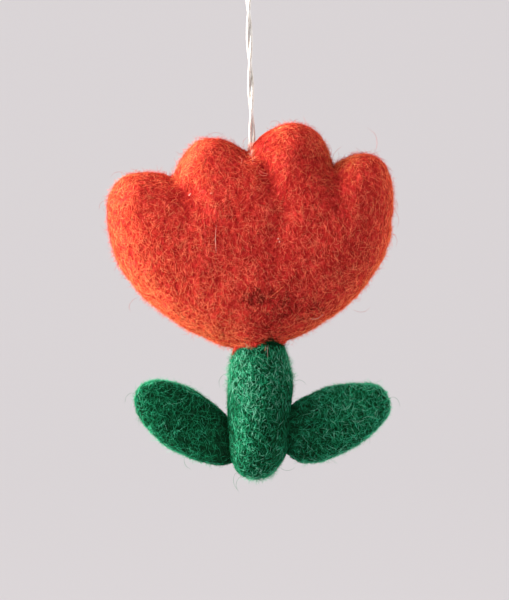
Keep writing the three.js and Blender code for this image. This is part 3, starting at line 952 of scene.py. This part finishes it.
def lit_flank(outward, left):
    """Painted light on the flank that faces left, towards the key light, most of all a little inside the edge:
    f^0.8 - 0.8 f^5, by how far it faces so.
    """
    glow = facing(outward, left)
    return glow**0.8 - 0.8 * glow**5


def aside(outward):
    """How far outward looks away from the front and the back: the root of 1 - y^2."""
    return np.sqrt(np.clip(1 - outward[:, 1] ** 2, 0, 1))


def round_painted_glow(rim, lee):
    """Painted glow on a thick form: a band a little inside its rim, its left flank, and the last of its edge where
    that looks down to the right, away from the key light."""

    def painted_glow(outward):
        edge = aside(outward)
        band = rim * (edge**2 - 0.75 * edge**8)
        return band + 0.66 * lit_flank(outward, LEFT) + lee * edge**12 * facing(outward, LEE)

    return painted_glow


def flat_painted_glow(left):
    """Painted glow on a leaf: its thin edge, less on the left, and its left flank."""

    def painted_glow(outward):
        edge = 1.1 * aside(outward) ** 6 * (1 - 0.78 * facing(outward, left))
        return edge + 0.29 * lit_flank(outward, left)

    return painted_glow


def unevenness(places):
    """How uneven the blossom's tones are: least on the petals' tops, where the wool is tight, and on the left."""
    upward = np.interp(places[:, 2], [-28, -6], [1.22, 0.64])
    return upward * np.interp(places[:, 0], [-30, 0], [0.86, 1.0])


print("wool on a rim that faces left is loose by", round_painted_glow(0.30, 0.6)(LEFT[None]).round(2))

# %% [markdown]
# A form keeps all this together: its skin, its measure and lumps, and the functions for painted shade and painted
# glow. So each fibre can ask what the wool and its painted light and shade are like where it lies.

# %% What the fibres know of a form
# How far the painted shade reaches from the blossom's hem, from the leaves and from the stem (mm).
HEM_REACH = 1.2
LEAF_REACH = 2.6
ROOT_REACH = 2.4


def evenly(places):
    """The same at all places."""
    return 1.0


def as_it_is(points):
    """Points that are in the flower's axes already."""
    return points


def felt_form(skin, measure, relief, painted_shade, dark, pale, painted_glow, rough=evenly, place=as_it_is):
    """What the fibres need to know of a form: its skin, its measure and relief, the painted shade at a place
    and how dark that makes it, its palest tone, the painted glow for the way it faces, how uneven its tones
    are at a place, and the way to the flower's axes."""
    points, faces = skin
    return dict(points=points, faces=faces, measure=measure, relief=relief, painted_shade=painted_shade, dark=dark, pale=pale,
                painted_glow=painted_glow, rough=rough, place=place)


stem_neighbours = [(as_it_is, blossom_measure, HEM_REACH)]
for name, leaf in LEAVES.items():
    stem_neighbours.append((partial(from_stem, **leaf), leaf_forms[name][2], LEAF_REACH))
forms = {
    "blossom": felt_form(blossom_skin, blossom_measure, blossom_lumps, painted_shade=painted_crease_shade, dark=0.22, pale=0.74,
                         painted_glow=round_painted_glow(0.30, 0.6), rough=unevenness),
    "stem": felt_form(stem_skin, stem_measure, stem_lumps, painted_shade=partial(joint_shade, neighbours=stem_neighbours),
                      dark=0.42, pale=1.0, painted_glow=round_painted_glow(0.1, 0.3)),
}
for name, leaf in LEAVES.items():
    turn = math.radians(leaf["turn"])
    own_left = np.array([-math.cos(turn), 0.0, math.sin(turn)])
    to_flower = partial(at_stem, **leaf)
    near_stem = partial(joint_shade, neighbours=[(to_flower, stem_measure, ROOT_REACH)])
    forms[name] = felt_form(*leaf_forms[name][1:], leaf_lumps, painted_shade=near_stem, dark=0.42, pale=0.84,
                            painted_glow=flat_painted_glow(own_left), place=to_flower)
print("forms to cover:", ", ".join(forms))

# %% [markdown]
# A line becomes a fibre when rings of three points are set square to it, widest in the middle, with a tip at each
# end. All fibres of a lot have the same number of points, so one set of triangles serves for all, shifted by the
# number of points that came before.

# %% Spindles
SLANT = np.array([0.31, 0.83, 0.46])
PATCH_WIDTH = 0.006
PATCH_HEIGHT = 0.012


def spindles(lines, width):
    """Closed three-sided spindles on lines: a tip, rings of three points square to the line, a tip. A ring's size
    follows half a sine wave along the fibre, without its ends."""
    count, steps = lines.shape[:2]
    along = unit(np.gradient(lines, axis=1))
    across = unit(np.cross(along, SLANT))
    other = np.cross(along, across)
    belly = np.sin(np.pi * (0.12 + 0.76 * np.linspace(0, 1, steps)))[None, :, None]
    corner = np.arange(3) * 2 * np.pi / 3
    ring = np.cos(corner)[:, None] * across[:, :, None] + np.sin(corner)[:, None] * other[:, :, None]
    ring = lines[:, :, None] + ring * (belly * width[:, None, None] / 2)[..., None]
    points = np.concatenate([lines[:, :1], ring[:, 1:-1].reshape(count, -1, 3), lines[:, -1:]], 1)
    faces = facing_out(points[0] - points[0].mean(0), skin_of_rings(steps - 2, 3))
    each = points.shape[1]
    return points.reshape(-1, 3), (faces[None] + each * np.arange(count)[:, None, None]).reshape(-1, 3), each


def fibre_patches(tone, hue, each):
    """A small patch of the UV map for each fibre: across by its tone, up by its hue, with a little width so that
    no face is without area there."""
    u = np.clip(tone, 0.02, 0.98)[:, None] + PATCH_WIDTH * np.cos(2.4 * np.arange(each))
    v = np.clip(hue, 0.02, 0.98)[:, None] + PATCH_HEIGHT * np.linspace(-1, 1, each)
    return np.stack([u, v], -1).reshape(-1, 2)


print("a fibre of four points has", len(skin_of_rings(2, 3)), "triangles")

# %% [markdown]
# A lot of fibres becomes one piece, or several when it has more triangles than a piece should have. Each piece
# rides on the flower and wears the finish of its wool.

# %% Pieces of fibres
PIECE_TRIANGLES = 190000


def fibre_pieces(name, lines, width, tone, hue, wool, place=as_it_is):
    """Fibre lines as mesh pieces that ride on the flower, none with more triangles than a piece may have."""
    finish, slot = wool
    each = len(skin_of_rings(lines.shape[1] - 2, 3))
    lots = np.array_split(np.arange(len(lines)), math.ceil(len(lines) * each / PIECE_TRIANGLES))
    for number, lot in enumerate(lots):
        points, faces, corners = spindles(lines[lot], width[lot])
        patches = fibre_patches(tone[lot], hue[lot], corners)
        piece = mesh_piece(f"{name}_{number + 1}", hung(place(points)), faces, patches)
        wear(piece, finish)
        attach(piece, "flower")
    print(name, len(lines), "fibres in", len(lots), "pieces,", len(lines) * each, "triangles")


print("fibres with up to", PIECE_TRIANGLES, "triangles make a piece")

# %% [markdown]
# A fibre's colour is kept in its UV map: across for its tone, from dark to pale, and up for its hue, from wool in
# the mass to single hairs that the light shines through, which look more orange or more mint. All fibres of one dye
# then share a material with two colour ramps, which read the colours where the map says.

# %% Fibre finishes


def fibre_finish(name, massed, single):
    """Wool of one dye: the tone across the UV map picks a colour on two ramps, and the hue up the map mixes
    them."""
    wool = Finish(name)
    patch = wool.add("UVMap", {"uv_map": "OFBake"}).outputs["UV"]
    place = wool.add("SeparateXYZ", Vector=patch).outputs
    pair = [wool.ramp(place["X"], *stops) for stops in (massed, single)]
    colour = wool.add("Mix", {"data_type": "RGBA"}, Factor=place["Y"], _6=pair[0], _7=pair[1]).outputs[2]
    return wool.finish(Base_Color=colour, Roughness=1.0, Specular_IOR_Level=0.0)


red_wool = (fibre_finish(
    "red_wool",
    [(0.0, (0.020, 0.018, 0.008)), (0.10, (0.16, 0.010, 0.010)), (0.25, (0.40, 0.016, 0.015)),
     (0.5, (0.76, 0.046, 0.042)), (0.72, (0.90, 0.135, 0.100)), (0.9, (0.93, 0.25, 0.18)),
     (1.0, (0.96, 0.78, 0.69))],
    [(0.0, (0.10, 0.020, 0.008)), (0.25, (0.52, 0.032, 0.018)), (0.5, (0.90, 0.135, 0.050)),
     (0.72, (1.0, 0.31, 0.115)), (1.0, (1.0, 0.60, 0.32))]), "felt_red")
green_wool = (fibre_finish(
    "green_wool",
    [(0.0, (0.002, 0.008, 0.003)), (0.25, (0.004, 0.034, 0.013)), (0.5, (0.009, 0.145, 0.058)),
     (0.75, (0.020, 0.34, 0.15)), (0.9, (0.058, 0.53, 0.29)), (1.0, (0.32, 0.74, 0.54))],
    [(0.0, (0.002, 0.022, 0.008)), (0.3, (0.007, 0.12, 0.045)), (0.6, (0.020, 0.35, 0.155)),
     (0.8, (0.050, 0.56, 0.30)), (1.0, (0.30, 0.76, 0.54))]), "felt_green")
print("two dyes of loose wool")

# %% [markdown]
# The coat is the wool that the needle left on the surface. Its fibres lie nearly every way, a little more up and
# down than across, and neighbours have nearly the same tone, so that streaks and tufts come out. At the edges and
# on the left flanks, tone and hue follow the way a fibre faces and are painted paler and more orange or mint:
# painted light, for light that comes through loose wool. In creases and joints the tone is painted darker as
# shade. Blossom and stem each get three lots: a coat of long fibres, short thick locks, and fine pale hairs over
# it all.

# %% A coat of fibres
COAT_STEPS = 4
DARKEST_TONE = 0.13


def painted_glow_at(form, places):
    """The painted glow at places of a form, by the way these face."""
    return form["painted_glow"](onto(form["measure"], places)[1])


def fibre_coat(name, form, count, seed, wool, lie, tones, long, thick, raised=0.12, pale=None):
    """A coat on a form: start points by area; headings around the vertical by a spread in radians. The higher a
    fibre lies the paler it is, and a streak field, the painted glow and the painted shade move its tone further.
    lie is spread and curl; tones are the middle tone, its scatter, the streaks' share and field, and what the
    painted glow adds."""
    chance = np.random.default_rng(seed)
    spread, curl = lie
    tone, scatter, streak, field, edge = tones
    start = scattered(form["points"], form["faces"], count, chance)
    turn = chance.normal(0, spread, count) + np.pi * chance.integers(0, 2, count)
    heading = np.stack([np.sin(turn), chance.normal(0, 0.7 * spread, count), np.cos(turn)], -1)
    level = np.clip(chance.normal(0, 1, count), -1.6, 2.2)
    arch = np.sin(np.pi * np.linspace(0, 1, COAT_STEPS))[None] * chance.uniform(0.2, 1, count)[:, None]
    lift = raised * arch + (0.03 + 0.045 * level)[:, None]
    length = chance.uniform(*long, count)
    lines = walked(start, heading, length, bends(count, COAT_STEPS, curl, chance), form, lift)
    centre = lines[:, COAT_STEPS // 2]
    # Painted shade darkens fibres in creases and joints; painted light, the glow, makes them paler and more orange
    # or mint at the edges and on the left flanks.
    painted_shade = form["painted_shade"](centre)
    glow_share = painted_glow_at(form, centre) * (1 - painted_shade)
    tone = tone + scatter * form["rough"](centre) * level + streak * field(centre)
    tone = np.clip(tone + edge * glow_share - form["dark"] * painted_shade, DARKEST_TONE, pale or form["pale"])
    hue = 1.4 * glow_share + 0.14 * level + chance.normal(0.18, 0.08, count)
    fibre_pieces(name, lines, chance.uniform(*thick, count), tone, hue, wool, form["place"])


red_streaks = wave_field(0.9, 2.6, 51, (1, 1, 0.33))
green_tufts = wave_field(0.9, 2.8, 52)
fibre_coat("blossom_coat", forms["blossom"], 12000, 11, red_wool, (0.8, 0.16),
           (0.42, 0.24, 0.15, red_streaks, 0.30), (2.0, 5.0), (0.055, 0.095))
fibre_coat("blossom_locks", forms["blossom"], 26000, 13, red_wool, (0.95, 0.18),
           (0.42, 0.27, 0.14, red_streaks, 0.30), (1.0, 3.2), (0.065, 0.11))
fibre_coat("blossom_hairs", forms["blossom"], 7000, 12, red_wool, (0.8, 0.2),
           (0.63, 0.09, 0.05, red_streaks, 0.10), (1.2, 4.2), (0.045, 0.07), 0.2)
fibre_coat("stem_coat", forms["stem"], 6000, 21, green_wool, (1.0, 0.16),
           (0.25, 0.30, 0.06, green_tufts, 0.26), (0.9, 2.6), (0.05, 0.085))
fibre_coat("stem_locks", forms["stem"], 8000, 23, green_wool, (0.9, 0.16),
           (0.30, 0.38, 0.05, green_tufts, 0.26), (0.7, 2.0), (0.07, 0.11))
fibre_coat("stem_hairs", forms["stem"], 2800, 22, green_wool, (0.9, 0.2),
           (0.92, 0.08, 0.04, green_tufts, 0.0), (1.0, 3.4), (0.055, 0.085), 0.24)

# %% [markdown]
# The leaves are pressed flatter, and the left one is painted darker, as shade on a face that turns from the
# light. They have fewer pale hairs, which are longer and curl every which way. A leaf's tones are a row of a
# table: its middle tone, the painted glow that its edge adds, and the tone of its pale hairs.

# %% Coat of the leaves
# The left leaf's low middle tone is painted shade; the edge column is painted light.
LEAF_TONES = {"leaf_left": (0.0, 0.80, 0.64), "leaf_right": (0.39, 0.62, 0.86)}
for seed, (name, (tone, edge, hairs)) in enumerate(LEAF_TONES.items()):
    fibre_coat(name + "_coat", forms[name], 3200, 31 + seed, green_wool, (1.2, 0.14),
               (tone, 0.27, 0.13, green_tufts, edge), (1.0, 2.8), (0.05, 0.085))
    fibre_coat(name + "_locks", forms[name], 5000, 33 + seed, green_wool, (1.2, 0.14),
               (tone, 0.34, 0.07, green_tufts, edge), (0.8, 2.2), (0.065, 0.105))
    fibre_coat(name + "_hairs", forms[name], 1200, 35 + seed, green_wool, (1.2, 0.18),
               (hairs, 0.12, 0.05, green_tufts, 0.0), (1.4, 4.0), (0.05, 0.08), 0.24, 0.97)

# %% [markdown]
# ## Fuzz
# Short hairs stand off the surface everywhere, and against the pale ground they make the outline soft. They start
# flat and then leave the surface, so their lift grows along them. A second, sparse lot is longer and finer, and a
# third stands only at the rim, where it shows most.

# %% Fuzz
FUZZ_CURL = 0.4


def fuzz(name, form, count, seed, wool, tones, long, high, thick, steps=4, choice=1, glow=0.35):
    """Fibres whose lift grows with the way along them to the power 1.5, up to a height, and less in creases and
    joints, where the painted shade lies. With a choice of several start points for each fibre, those that face
    aside the most are taken, which is at the rim."""
    chance = np.random.default_rng(seed)
    start = scattered(form["points"], form["faces"], count * choice, chance)
    outward = onto(form["measure"], start)[1]
    start = start[np.argsort(np.abs(outward[:, 1]))[:count]]
    heading = unit(chance.normal(size=(count, 3)))
    rise = np.linspace(0, 1, steps)[None] ** 1.5
    painted_shade = form["painted_shade"](start)
    lift = rise * (chance.uniform(*high, count) * chance.uniform(0.3, 1, count) * (1 - painted_shade))[:, None]
    length = chance.uniform(*long, count)
    lines = walked(start, heading, length, bends(count, steps, FUZZ_CURL, chance), form, lift)
    # Painted light, the glow, makes the fuzz paler and more orange or mint; painted shade darkens it in creases and
    # joints.
    glow_share = painted_glow_at(form, start) * (1 - painted_shade)
    tone = np.maximum(chance.normal(*tones, count) + glow * glow_share - form["dark"] * painted_shade, DARKEST_TONE)
    hue = 0.2 + 0.9 * glow_share + chance.normal(0, 0.1, count)
    fibre_pieces(name, lines, chance.uniform(*thick, count), tone, hue, wool, form["place"])


SHORT = dict(long=(0.5, 2.2), high=(0.3, 1.1), thick=(0.05, 0.08))
LONG = dict(long=(1.5, 5.0), high=(0.9, 2.9), thick=(0.042, 0.065), steps=6)
BLOSSOM_RIM = dict(long=(0.5, 1.8), high=(0.4, 1.8), thick=(0.045, 0.07), choice=5)
STEM_RIM = dict(long=(0.8, 2.4), high=(0.5, 2.5), thick=(0.042, 0.065), choice=5)
LEAF_RIM = dict(long=(0.4, 1.2), high=(0.3, 1.25), thick=(0.06, 0.095), choice=6, glow=0.5)
fuzz("blossom_fuzz", forms["blossom"], 9000, 41, red_wool, (0.32, 0.12), **SHORT)
fuzz("blossom_down", forms["blossom"], 5000, 42, red_wool, (0.26, 0.12), **LONG)
fuzz("blossom_edge", forms["blossom"], 6000, 40, red_wool, (0.36, 0.12), **BLOSSOM_RIM)
fuzz("stem_fuzz", forms["stem"], 5500, 43, green_wool, (0.36, 0.16), **SHORT)
fuzz("stem_down", forms["stem"], 1300, 44, green_wool, (0.60, 0.14), **LONG)
fuzz("stem_edge", forms["stem"], 3200, 39, green_wool, (0.62, 0.14), **STEM_RIM)
for seed, name in enumerate(LEAVES):
    fuzz(name + "_fuzz", forms[name], 2000, 45 + seed, green_wool, (0.36, 0.16), **SHORT)
    fuzz(name + "_down", forms[name], 700, 47 + seed, green_wool, (0.66, 0.14), **LONG)
    fuzz(name + "_edge", forms[name], 2600, 49 + seed, green_wool, (0.22, 0.14), **LEAF_RIM)

# %% [markdown]
# ## The hem over the stem
# Where blossom and stem meet, tufts of red wool have been needled down over the green, so the seam is a ragged hem
# rather than a clean line. The seam itself is where the stem's surface leaves the blossom: for each direction round
# the stem, the lowest height that is still inside the blossom.

# %% Hem
SEAM_LOW, SEAM_HIGH, SEAM_USUAL = -60.0, -49.0, -52.0
SEAM_TRIES = 221
HEM_LEVEL = -54.6
HEM_STEPS = 5


def seam_height(around):
    """For directions round the stem (radians), the lowest z where the stem's surface lies in the blossom."""
    z = np.linspace(SEAM_LOW, SEAM_HIGH, SEAM_TRIES)
    height = z - STEM_BOTTOM
    radius = np.sqrt(stem_radius_square(height))
    x = stem_middle(height) + radius * np.cos(around)[:, None]
    y = radius * np.sin(around)[:, None]
    inside = blossom_measure(np.stack([x, y, np.broadcast_to(z, x.shape)], -1)) < 0
    return np.where(inside.any(1), z[inside.argmax(1)], SEAM_USUAL)


def on_stem(around, z, off):
    """Places on the stem's surface by direction and height, a distance off it."""
    height = z - STEM_BOTTOM
    radius = np.sqrt(stem_radius_square(height)) + off
    return np.stack([stem_middle(height) + radius * np.cos(around), radius * np.sin(around), z], -1)


def hem_line(x):
    """How low the hem hangs (z, mm) across the front: a level with a tab at the left end and one in the middle,
    and a gap right of the middle."""
    left_tab = -2.8 * np.exp(-(((x + 4.8) / 1.1) ** 2))
    middle_tab = -0.9 * np.exp(-(((x - 1.9) / 1.5) ** 2))
    gap = 1.8 * np.exp(-(((x - 5.2) / 1.4) ** 2))
    return HEM_LEVEL + 0.13 * (x - 2) + left_tab + middle_tab + gap


def hem_tufts(name, clumps, each, seed, wool, tones):
    """Clumps of fibres from above the seam down to the hem line. A clump's fibres start side by side, run together
    towards its tip, leave the stem a little on the way and come back to it."""
    chance = np.random.default_rng(seed)
    middle = np.repeat(chance.uniform(0, 2 * np.pi, clumps), each)
    count = clumps * each
    around = middle + chance.normal(0, 0.2, count)
    top = seam_height(around) + chance.uniform(0.2, 2.0, count)
    sag = np.repeat(chance.normal(0, 0.6, clumps), each) + chance.normal(0, 0.4, count)
    bottom = np.minimum(hem_line(on_stem(middle, top, 0)[:, 0]) + sag, top - 0.8)
    part = np.linspace(0, 1, HEM_STEPS)
    z = top[:, None] + (bottom - top)[:, None] * part
    tip = middle + chance.normal(0, 0.13, count)
    drift = around[:, None] + (tip - around)[:, None] * part**1.5
    off = 0.15 + 0.35 * np.sin(np.pi * part) * chance.uniform(0.2, 1, count)[:, None]
    tone = chance.normal(*tones, count) + np.repeat(chance.normal(0, 0.07, clumps), each)
    width, hue = chance.uniform(0.06, 0.11, count), chance.uniform(0, 0.6, count)
    fibre_pieces(name, on_stem(drift, z, off), width, tone, hue, wool)


hem_tufts("hem_tufts", 44, 52, 61, red_wool, (0.38, 0.18))

# %% [markdown]
# ## Flecks
# Some dark green wool from the stem was needled into the blossom's foot, and shows there as a brownish shadow of
# flecks. They lie in a few loose spots. A place on the face is easiest to give by its pixel in the photograph, and
# the walk then brings each fleck down onto the felt. A spot is its middle, how wide and tall it is, and how many
# flecks it has.

# %% Flecks of stem wool in the blossom
FLECK_SPOTS = [(253, 300, 6, 6, 90), (262, 299, 4, 4, 70), (286, 300, 11, 8, 70), (277, 316, 7, 10, 90),
               (296, 312, 9, 7, 45), (266, 327, 16, 8, 80), (313, 309, 5, 4, 40)]
FLECK_STEPS = 5
FLECK_CURL = 0.4


def front_place(pixels, *measures):
    """Places (mm) on the front of forms that the camera sees at these pixels: minus the root of how far the lowest
    measure is below nothing in the plane of the rim, or in that plane where there is no form."""
    flat = (np.asarray(pixels, float) - CORD_PIXEL) * PIXEL
    middle = np.stack([flat[..., 0], 0 * flat[..., 0], -flat[..., 1]], -1)
    lowest = np.minimum.reduce([measure(middle) for measure in measures])
    return middle - np.sqrt(np.maximum(-lowest, 0))[..., None] * [0, 1, 0]


def speckled(spots, chance):
    """Pixels scattered round spots: a middle, how wide and tall, how many."""
    return np.concatenate([chance.normal((x, y), size, (count, 2)) for x, y, *size, count in spots])


chance = np.random.default_rng(71)
pixels = speckled(FLECK_SPOTS, chance)
count = len(pixels)
turn = chance.normal(0, 0.9, count)
heading = np.stack([np.sin(turn), 0 * turn, np.cos(turn)], -1)
arch = np.sin(np.pi * np.linspace(0, 1, FLECK_STEPS))[None]
lift = 0.10 + 0.14 * arch * chance.uniform(0, 1, count)[:, None]
lines = walked(front_place(pixels, blossom_measure), heading, chance.uniform(0.8, 2.2, count),
               bends(count, FLECK_STEPS, FLECK_CURL, chance), forms["blossom"], lift)
fibre_pieces("flecks", lines, chance.uniform(0.08, 0.14, count), np.abs(chance.normal(0.0, 0.10, count)),
             chance.uniform(0, 0.2, count), red_wool)

# %% [markdown]
# At the right of the hem a tuft of the stem's green wool lies over the red, painted near black as the shadow
# under the hem. Its fibres cross the seam, so they are laid on whichever of the two forms is in front.

# %% Painted shadow: a dark tuft at the hem
HEM_SHADOW_SPOTS = [(271, 342, 3.2, 2.0, 170), (280, 344, 3.0, 1.2, 80)]
chance = np.random.default_rng(72)
pixels = speckled(HEM_SHADOW_SPOTS, chance)
count = len(pixels)
turn = chance.uniform(0, np.pi, count)
reach = chance.uniform(2, 5, count)[:, None] * np.stack([np.cos(turn), np.sin(turn)], -1)
part = np.linspace(-0.5, 0.5, FLECK_STEPS)
lines = front_place(pixels[:, None] + reach[:, None] * part[:, None], blossom_measure, stem_measure)
lines[..., 1] -= 0.45 + 0.25 * (1 - 4 * part**2) * chance.uniform(0, 1, count)[:, None]
# Tones near nothing: painted shadow.
fibre_pieces("hem_painted_shadow", lines, chance.uniform(0.08, 0.13, count), np.abs(chance.normal(0.0, 0.16, count)),
             chance.uniform(0, 0.3, count), green_wool)

# %% [markdown]
# ## Threads and strays
# A few single fibres catch the eye: a straight orange thread and some pale ones on the face, specks of lint, and
# long hairs that have worked loose at the edges. Each is a short line of pixels. Those on the face are laid on the
# felt; a stray starts on the felt at the rim and then hangs in the air.

# %% Threads on the face
FACE_THREADS = [  # tone, width (mm) and line of pixels
    (0.62, 0.16, [(270, 297), (278, 291), (285, 285)]),
    (0.56, 0.13, [(268, 300), (274, 294), (280, 291)]),
    (0.70, 0.11, [(293, 323), (302, 320), (309, 318)]),
    (0.98, 0.08, [(217, 225), (216, 240), (217, 255)]),
    (0.90, 0.10, [(257, 172), (262, 176), (268, 174)]),
    (0.90, 0.08, [(258, 170), (263, 173), (267, 173)]),
    (0.90, 0.10, [(239, 157), (242, 162), (240, 168)]),
    (0.74, 0.07, [(293, 211), (299, 214), (300, 208)]),
    (0.98, 0.10, [(308, 318), (317, 317), (323, 313)]),
]
LINT = [  # tone and pixel
    (0.98, (277.5, 240)), (0.98, (279, 242.5)), (0.94, (189.5, 194)), (0.90, (212, 195)), (0.94, (203, 141)),
]
LINT_WIDTH = 0.22
LINT_SPREAD = 0.16
THREAD_STEPS = 8
OFF_FACE = 0.2


def laid_on(form, lines, off):
    """Lines brought onto a form's felt, a distance off it."""
    found, outward = onto(form["measure"], lines.reshape(-1, 3))
    return (found + outward * (form["relief"](found) + off)[:, None]).reshape(lines.shape)


def threads_on(form, threads):
    """Smooth lines through the pixels of threads, on the front of a form."""
    corners = [front_place(pixels, form["measure"]) for _, _, pixels in threads]
    return np.stack([smooth_line(line, THREAD_STEPS) for line in corners])


chance = np.random.default_rng(81)
lint = front_place([place for _, place in LINT], blossom_measure)
specks = lint[:, None] + chance.normal(0, LINT_SPREAD, (len(LINT), THREAD_STEPS, 3))
lines = np.concatenate([threads_on(forms["blossom"], FACE_THREADS), specks])
lines = laid_on(forms["blossom"], lines, OFF_FACE)
tone = np.array([tone for tone, *_ in FACE_THREADS + LINT])
width = np.array([width for _, width, _ in FACE_THREADS] + [LINT_WIDTH] * len(LINT))
fibre_pieces("face_threads", lines, width, tone, np.where(tone < 0.8, 0.6, 0.1), red_wool)

# %% [markdown]
# Some of the blossom's hairs hang over the hem onto the stem. They are laid on the stem in the same way.

# %% Hairs over the hem
STEM_THREADS = [  # tone, width (mm) and line of pixels
    (0.98, 0.045, [(268, 342), (267, 351), (268, 361)]),
    (0.74, 0.08, [(265, 346), (265, 349), (264, 351)]),
]
OFF_STEM = 0.3
lines = laid_on(forms["stem"], threads_on(forms["stem"], STEM_THREADS), OFF_STEM)
tone, width = np.array([row[:2] for row in STEM_THREADS]).T
fibre_pieces("stem_threads", lines, width, tone, np.full(len(lines), 0.1), red_wool)

# %% [markdown]
# The strays in the air follow lines of four pixels in the plane of the rim, where the outline is.

# %% Strays in the air
RED_STRAYS = [[(371, 158), (377, 146), (375, 134), (366, 127)], [(329, 168), (332, 159), (336, 151), (343, 146)],
              [(331, 172), (336, 164), (339, 158), (338, 150)], [(327, 164), (331, 154), (331, 148), (328, 142)],
              [(334, 172), (341, 164), (346, 162), (350, 165)], [(389, 196), (395, 199), (398, 206), (396, 213)],
              [(389, 205), (396, 212), (399, 221), (396, 229)], [(387, 228), (393, 233), (397, 240), (396, 247)],
              [(243, 152), (238, 146), (233, 144), (229, 146)], [(246, 152), (243, 145), (244, 140), (248, 137)],
              [(284, 128), (279, 122), (273, 121), (269, 124)], [(110, 205), (104, 201), (100, 204), (99, 211)],
              [(205, 138), (212, 133), (219, 133), (224, 136)], [(140, 296), (133, 300), (129, 306), (131, 312)],
              [(127, 176), (121, 172), (114, 173), (110, 178)], [(352, 309), (359, 312), (366, 311), (371, 306)]]
GREEN_STRAYS = [[(238, 470), (234, 476), (234, 484), (238, 491)], [(244, 474), (238, 479), (236, 486), (240, 494)],
                [(278, 466), (284, 470), (291, 470), (296, 466)], [(230, 372), (223, 375), (219, 381), (220, 388)],
                [(291, 384), (297, 380), (303, 381), (307, 386)], [(137, 395), (131, 393), (126, 397), (125, 404)],
                [(387, 400), (393, 397), (398, 400), (400, 407)], [(188, 453), (184, 459), (186, 466), (192, 470)]]
STRAY_WIDTH = 0.07
STRAY_HUE = 0.3


def in_the_air(strays):
    """Lines in the plane of the rim (y = 0), through pixels."""
    corners = [front_place(pixels, blossom_measure) * [1, 0, 1] for pixels in strays]
    return np.stack([smooth_line(line, THREAD_STEPS) for line in corners])


for name, strays, wool, tone in (("red_strays", RED_STRAYS, red_wool, 0.3),
                                 ("green_strays", GREEN_STRAYS, green_wool, 0.5)):
    even = np.ones(len(strays))
    fibre_pieces(name, in_the_air(strays), STRAY_WIDTH * even, tone * even, STRAY_HUE * even, wool)

# %% [markdown]
# Where the cord goes into the felt, its cotton has been rubbed loose and mixes with the wool. So a tuft of short
# pinkish white fibres surrounds the entry, starting on the cord and ending on the felt. More of them lie in front.

# %% Fluff at the cord's entry
FLUFF_FIBRES = 260
FLUFF_STEPS = 5
FLUFF_PIXEL = (251, 150)

count = FLUFF_FIBRES
chance = np.random.default_rng(91)
around = chance.uniform(0, 2 * np.pi, count)
part = np.linspace(0, 1, FLUFF_STEPS)
spread = 0.55 + part * chance.uniform(0.2, 1.5, count)[:, None]
height = chance.uniform(-0.5, 2.0, count)[:, None] - part**1.3 * chance.uniform(0.8, 3.0, count)[:, None]
sway = around[:, None] + chance.normal(0, 0.5, count)[:, None] * part
lines = np.stack([spread * np.cos(sway), spread * np.sin(sway), height], -1)
pixels = chance.normal(FLUFF_PIXEL, (1.3, 3.0), (count // 4, 2))[:, None] + part[:, None] * [0.6, 4.0]
front = front_place(pixels + chance.normal(0, 0.4, pixels.shape), blossom_measure) - [0, 0.45, 0]
lines = np.concatenate([lines, front])
count = len(lines)
fibre_pieces("cord_fluff", lines, chance.uniform(0.04, 0.07, count), chance.uniform(0.84, 1.0, count),
             chance.uniform(0, 0.15, count), red_wool)

# %% [markdown]
# ## Floor and light
# The photograph has a plain pale grey ground without a horizon. A floor that curves up into a wall gives that. It
# shines a little by itself, so that the lights on the flower leave no shade on it.

# %% Floor that rises into a wall
FLOOR_Z = -0.9
FLOOR_FRONT = -3.0
FLOOR_SIDE = 4.0
WALL_Y = 2.6
WALL_TOP = 3.0
BEND = 0.6

sweep = np.linspace(0, np.pi / 2, 24)
bend = np.column_stack([WALL_Y - BEND + BEND * np.sin(sweep), FLOOR_Z + BEND * (1 - np.cos(sweep))])
profile = np.vstack([[[FLOOR_FRONT, FLOOR_Z]], bend, [[WALL_Y, WALL_TOP]]])
across = np.broadcast_to([-FLOOR_SIDE, FLOOR_SIDE], (len(profile), 2))
grid = np.stack([across, *(np.repeat(profile[:, i:i + 1], 2, 1) for i in (0, 1))], -1)
index = np.arange(len(profile) - 1)[:, None] * 2
faces = np.concatenate([index + [0, 1, 2], index + [1, 3, 2]])
floor = mesh_piece("floor", grid.reshape(-1, 3), faces)
paper = Finish("paper")
wear(floor, paper.finish(Base_Color=(0.10, 0.095, 0.098, 1), Roughness=1.0, Specular_IOR_Level=0.0,
                         Emission_Color=(1.0, 0.95, 0.97, 1), Emission_Strength=0.55))
print("floor", FLOOR_Z, "m, wall", WALL_Y, "m behind")

# %% [markdown]
# The key light is large and stands far to the left, a little in front and above. It shines into the loose wool on
# the left flanks. A weak fill comes from the front, a small rim light from the right behind, and the rest is soft
# light from all round.

# %% Lights
world = bpy.data.worlds.new("studio")
world.use_nodes = True
world.node_tree.nodes["Background"].inputs["Color"].default_value = (1.0, 0.985, 0.99, 1)
world.node_tree.nodes["Background"].inputs["Strength"].default_value = 0.67
bpy.context.scene.world = world


def lamp(name, kind, toward, tint=(1, 1, 1), **settings):
    """A light that shines on the flower from a direction. For a sun only the direction counts, for an area light
    its place as well."""
    light = bpy.data.lights.new(name, kind)
    light.color = tint
    for setting, value in settings.items():
        setattr(light, setting, value)
    made = bpy.data.objects.new(name, light)
    away = np.asarray(toward, float)
    tilt = math.acos(away[2] / np.linalg.norm(away))
    made.location = aim + away
    made.rotation_euler = (tilt, 0, math.atan2(away[1], away[0]) + math.pi / 2)
    bpy.context.collection.objects.link(made)


lamp("key", "SUN", (-0.965, -0.07, 0.26), (1.0, 0.97, 0.92), energy=13.0, angle=math.radians(45))
lamp("fill", "SUN", (-0.3, -1.0, 0.35), energy=0.8, angle=math.radians(60))
lamp("rim", "AREA", (1.2, 0.45, -0.2), energy=20.0, size=0.6)
print("key, fill and rim lights")
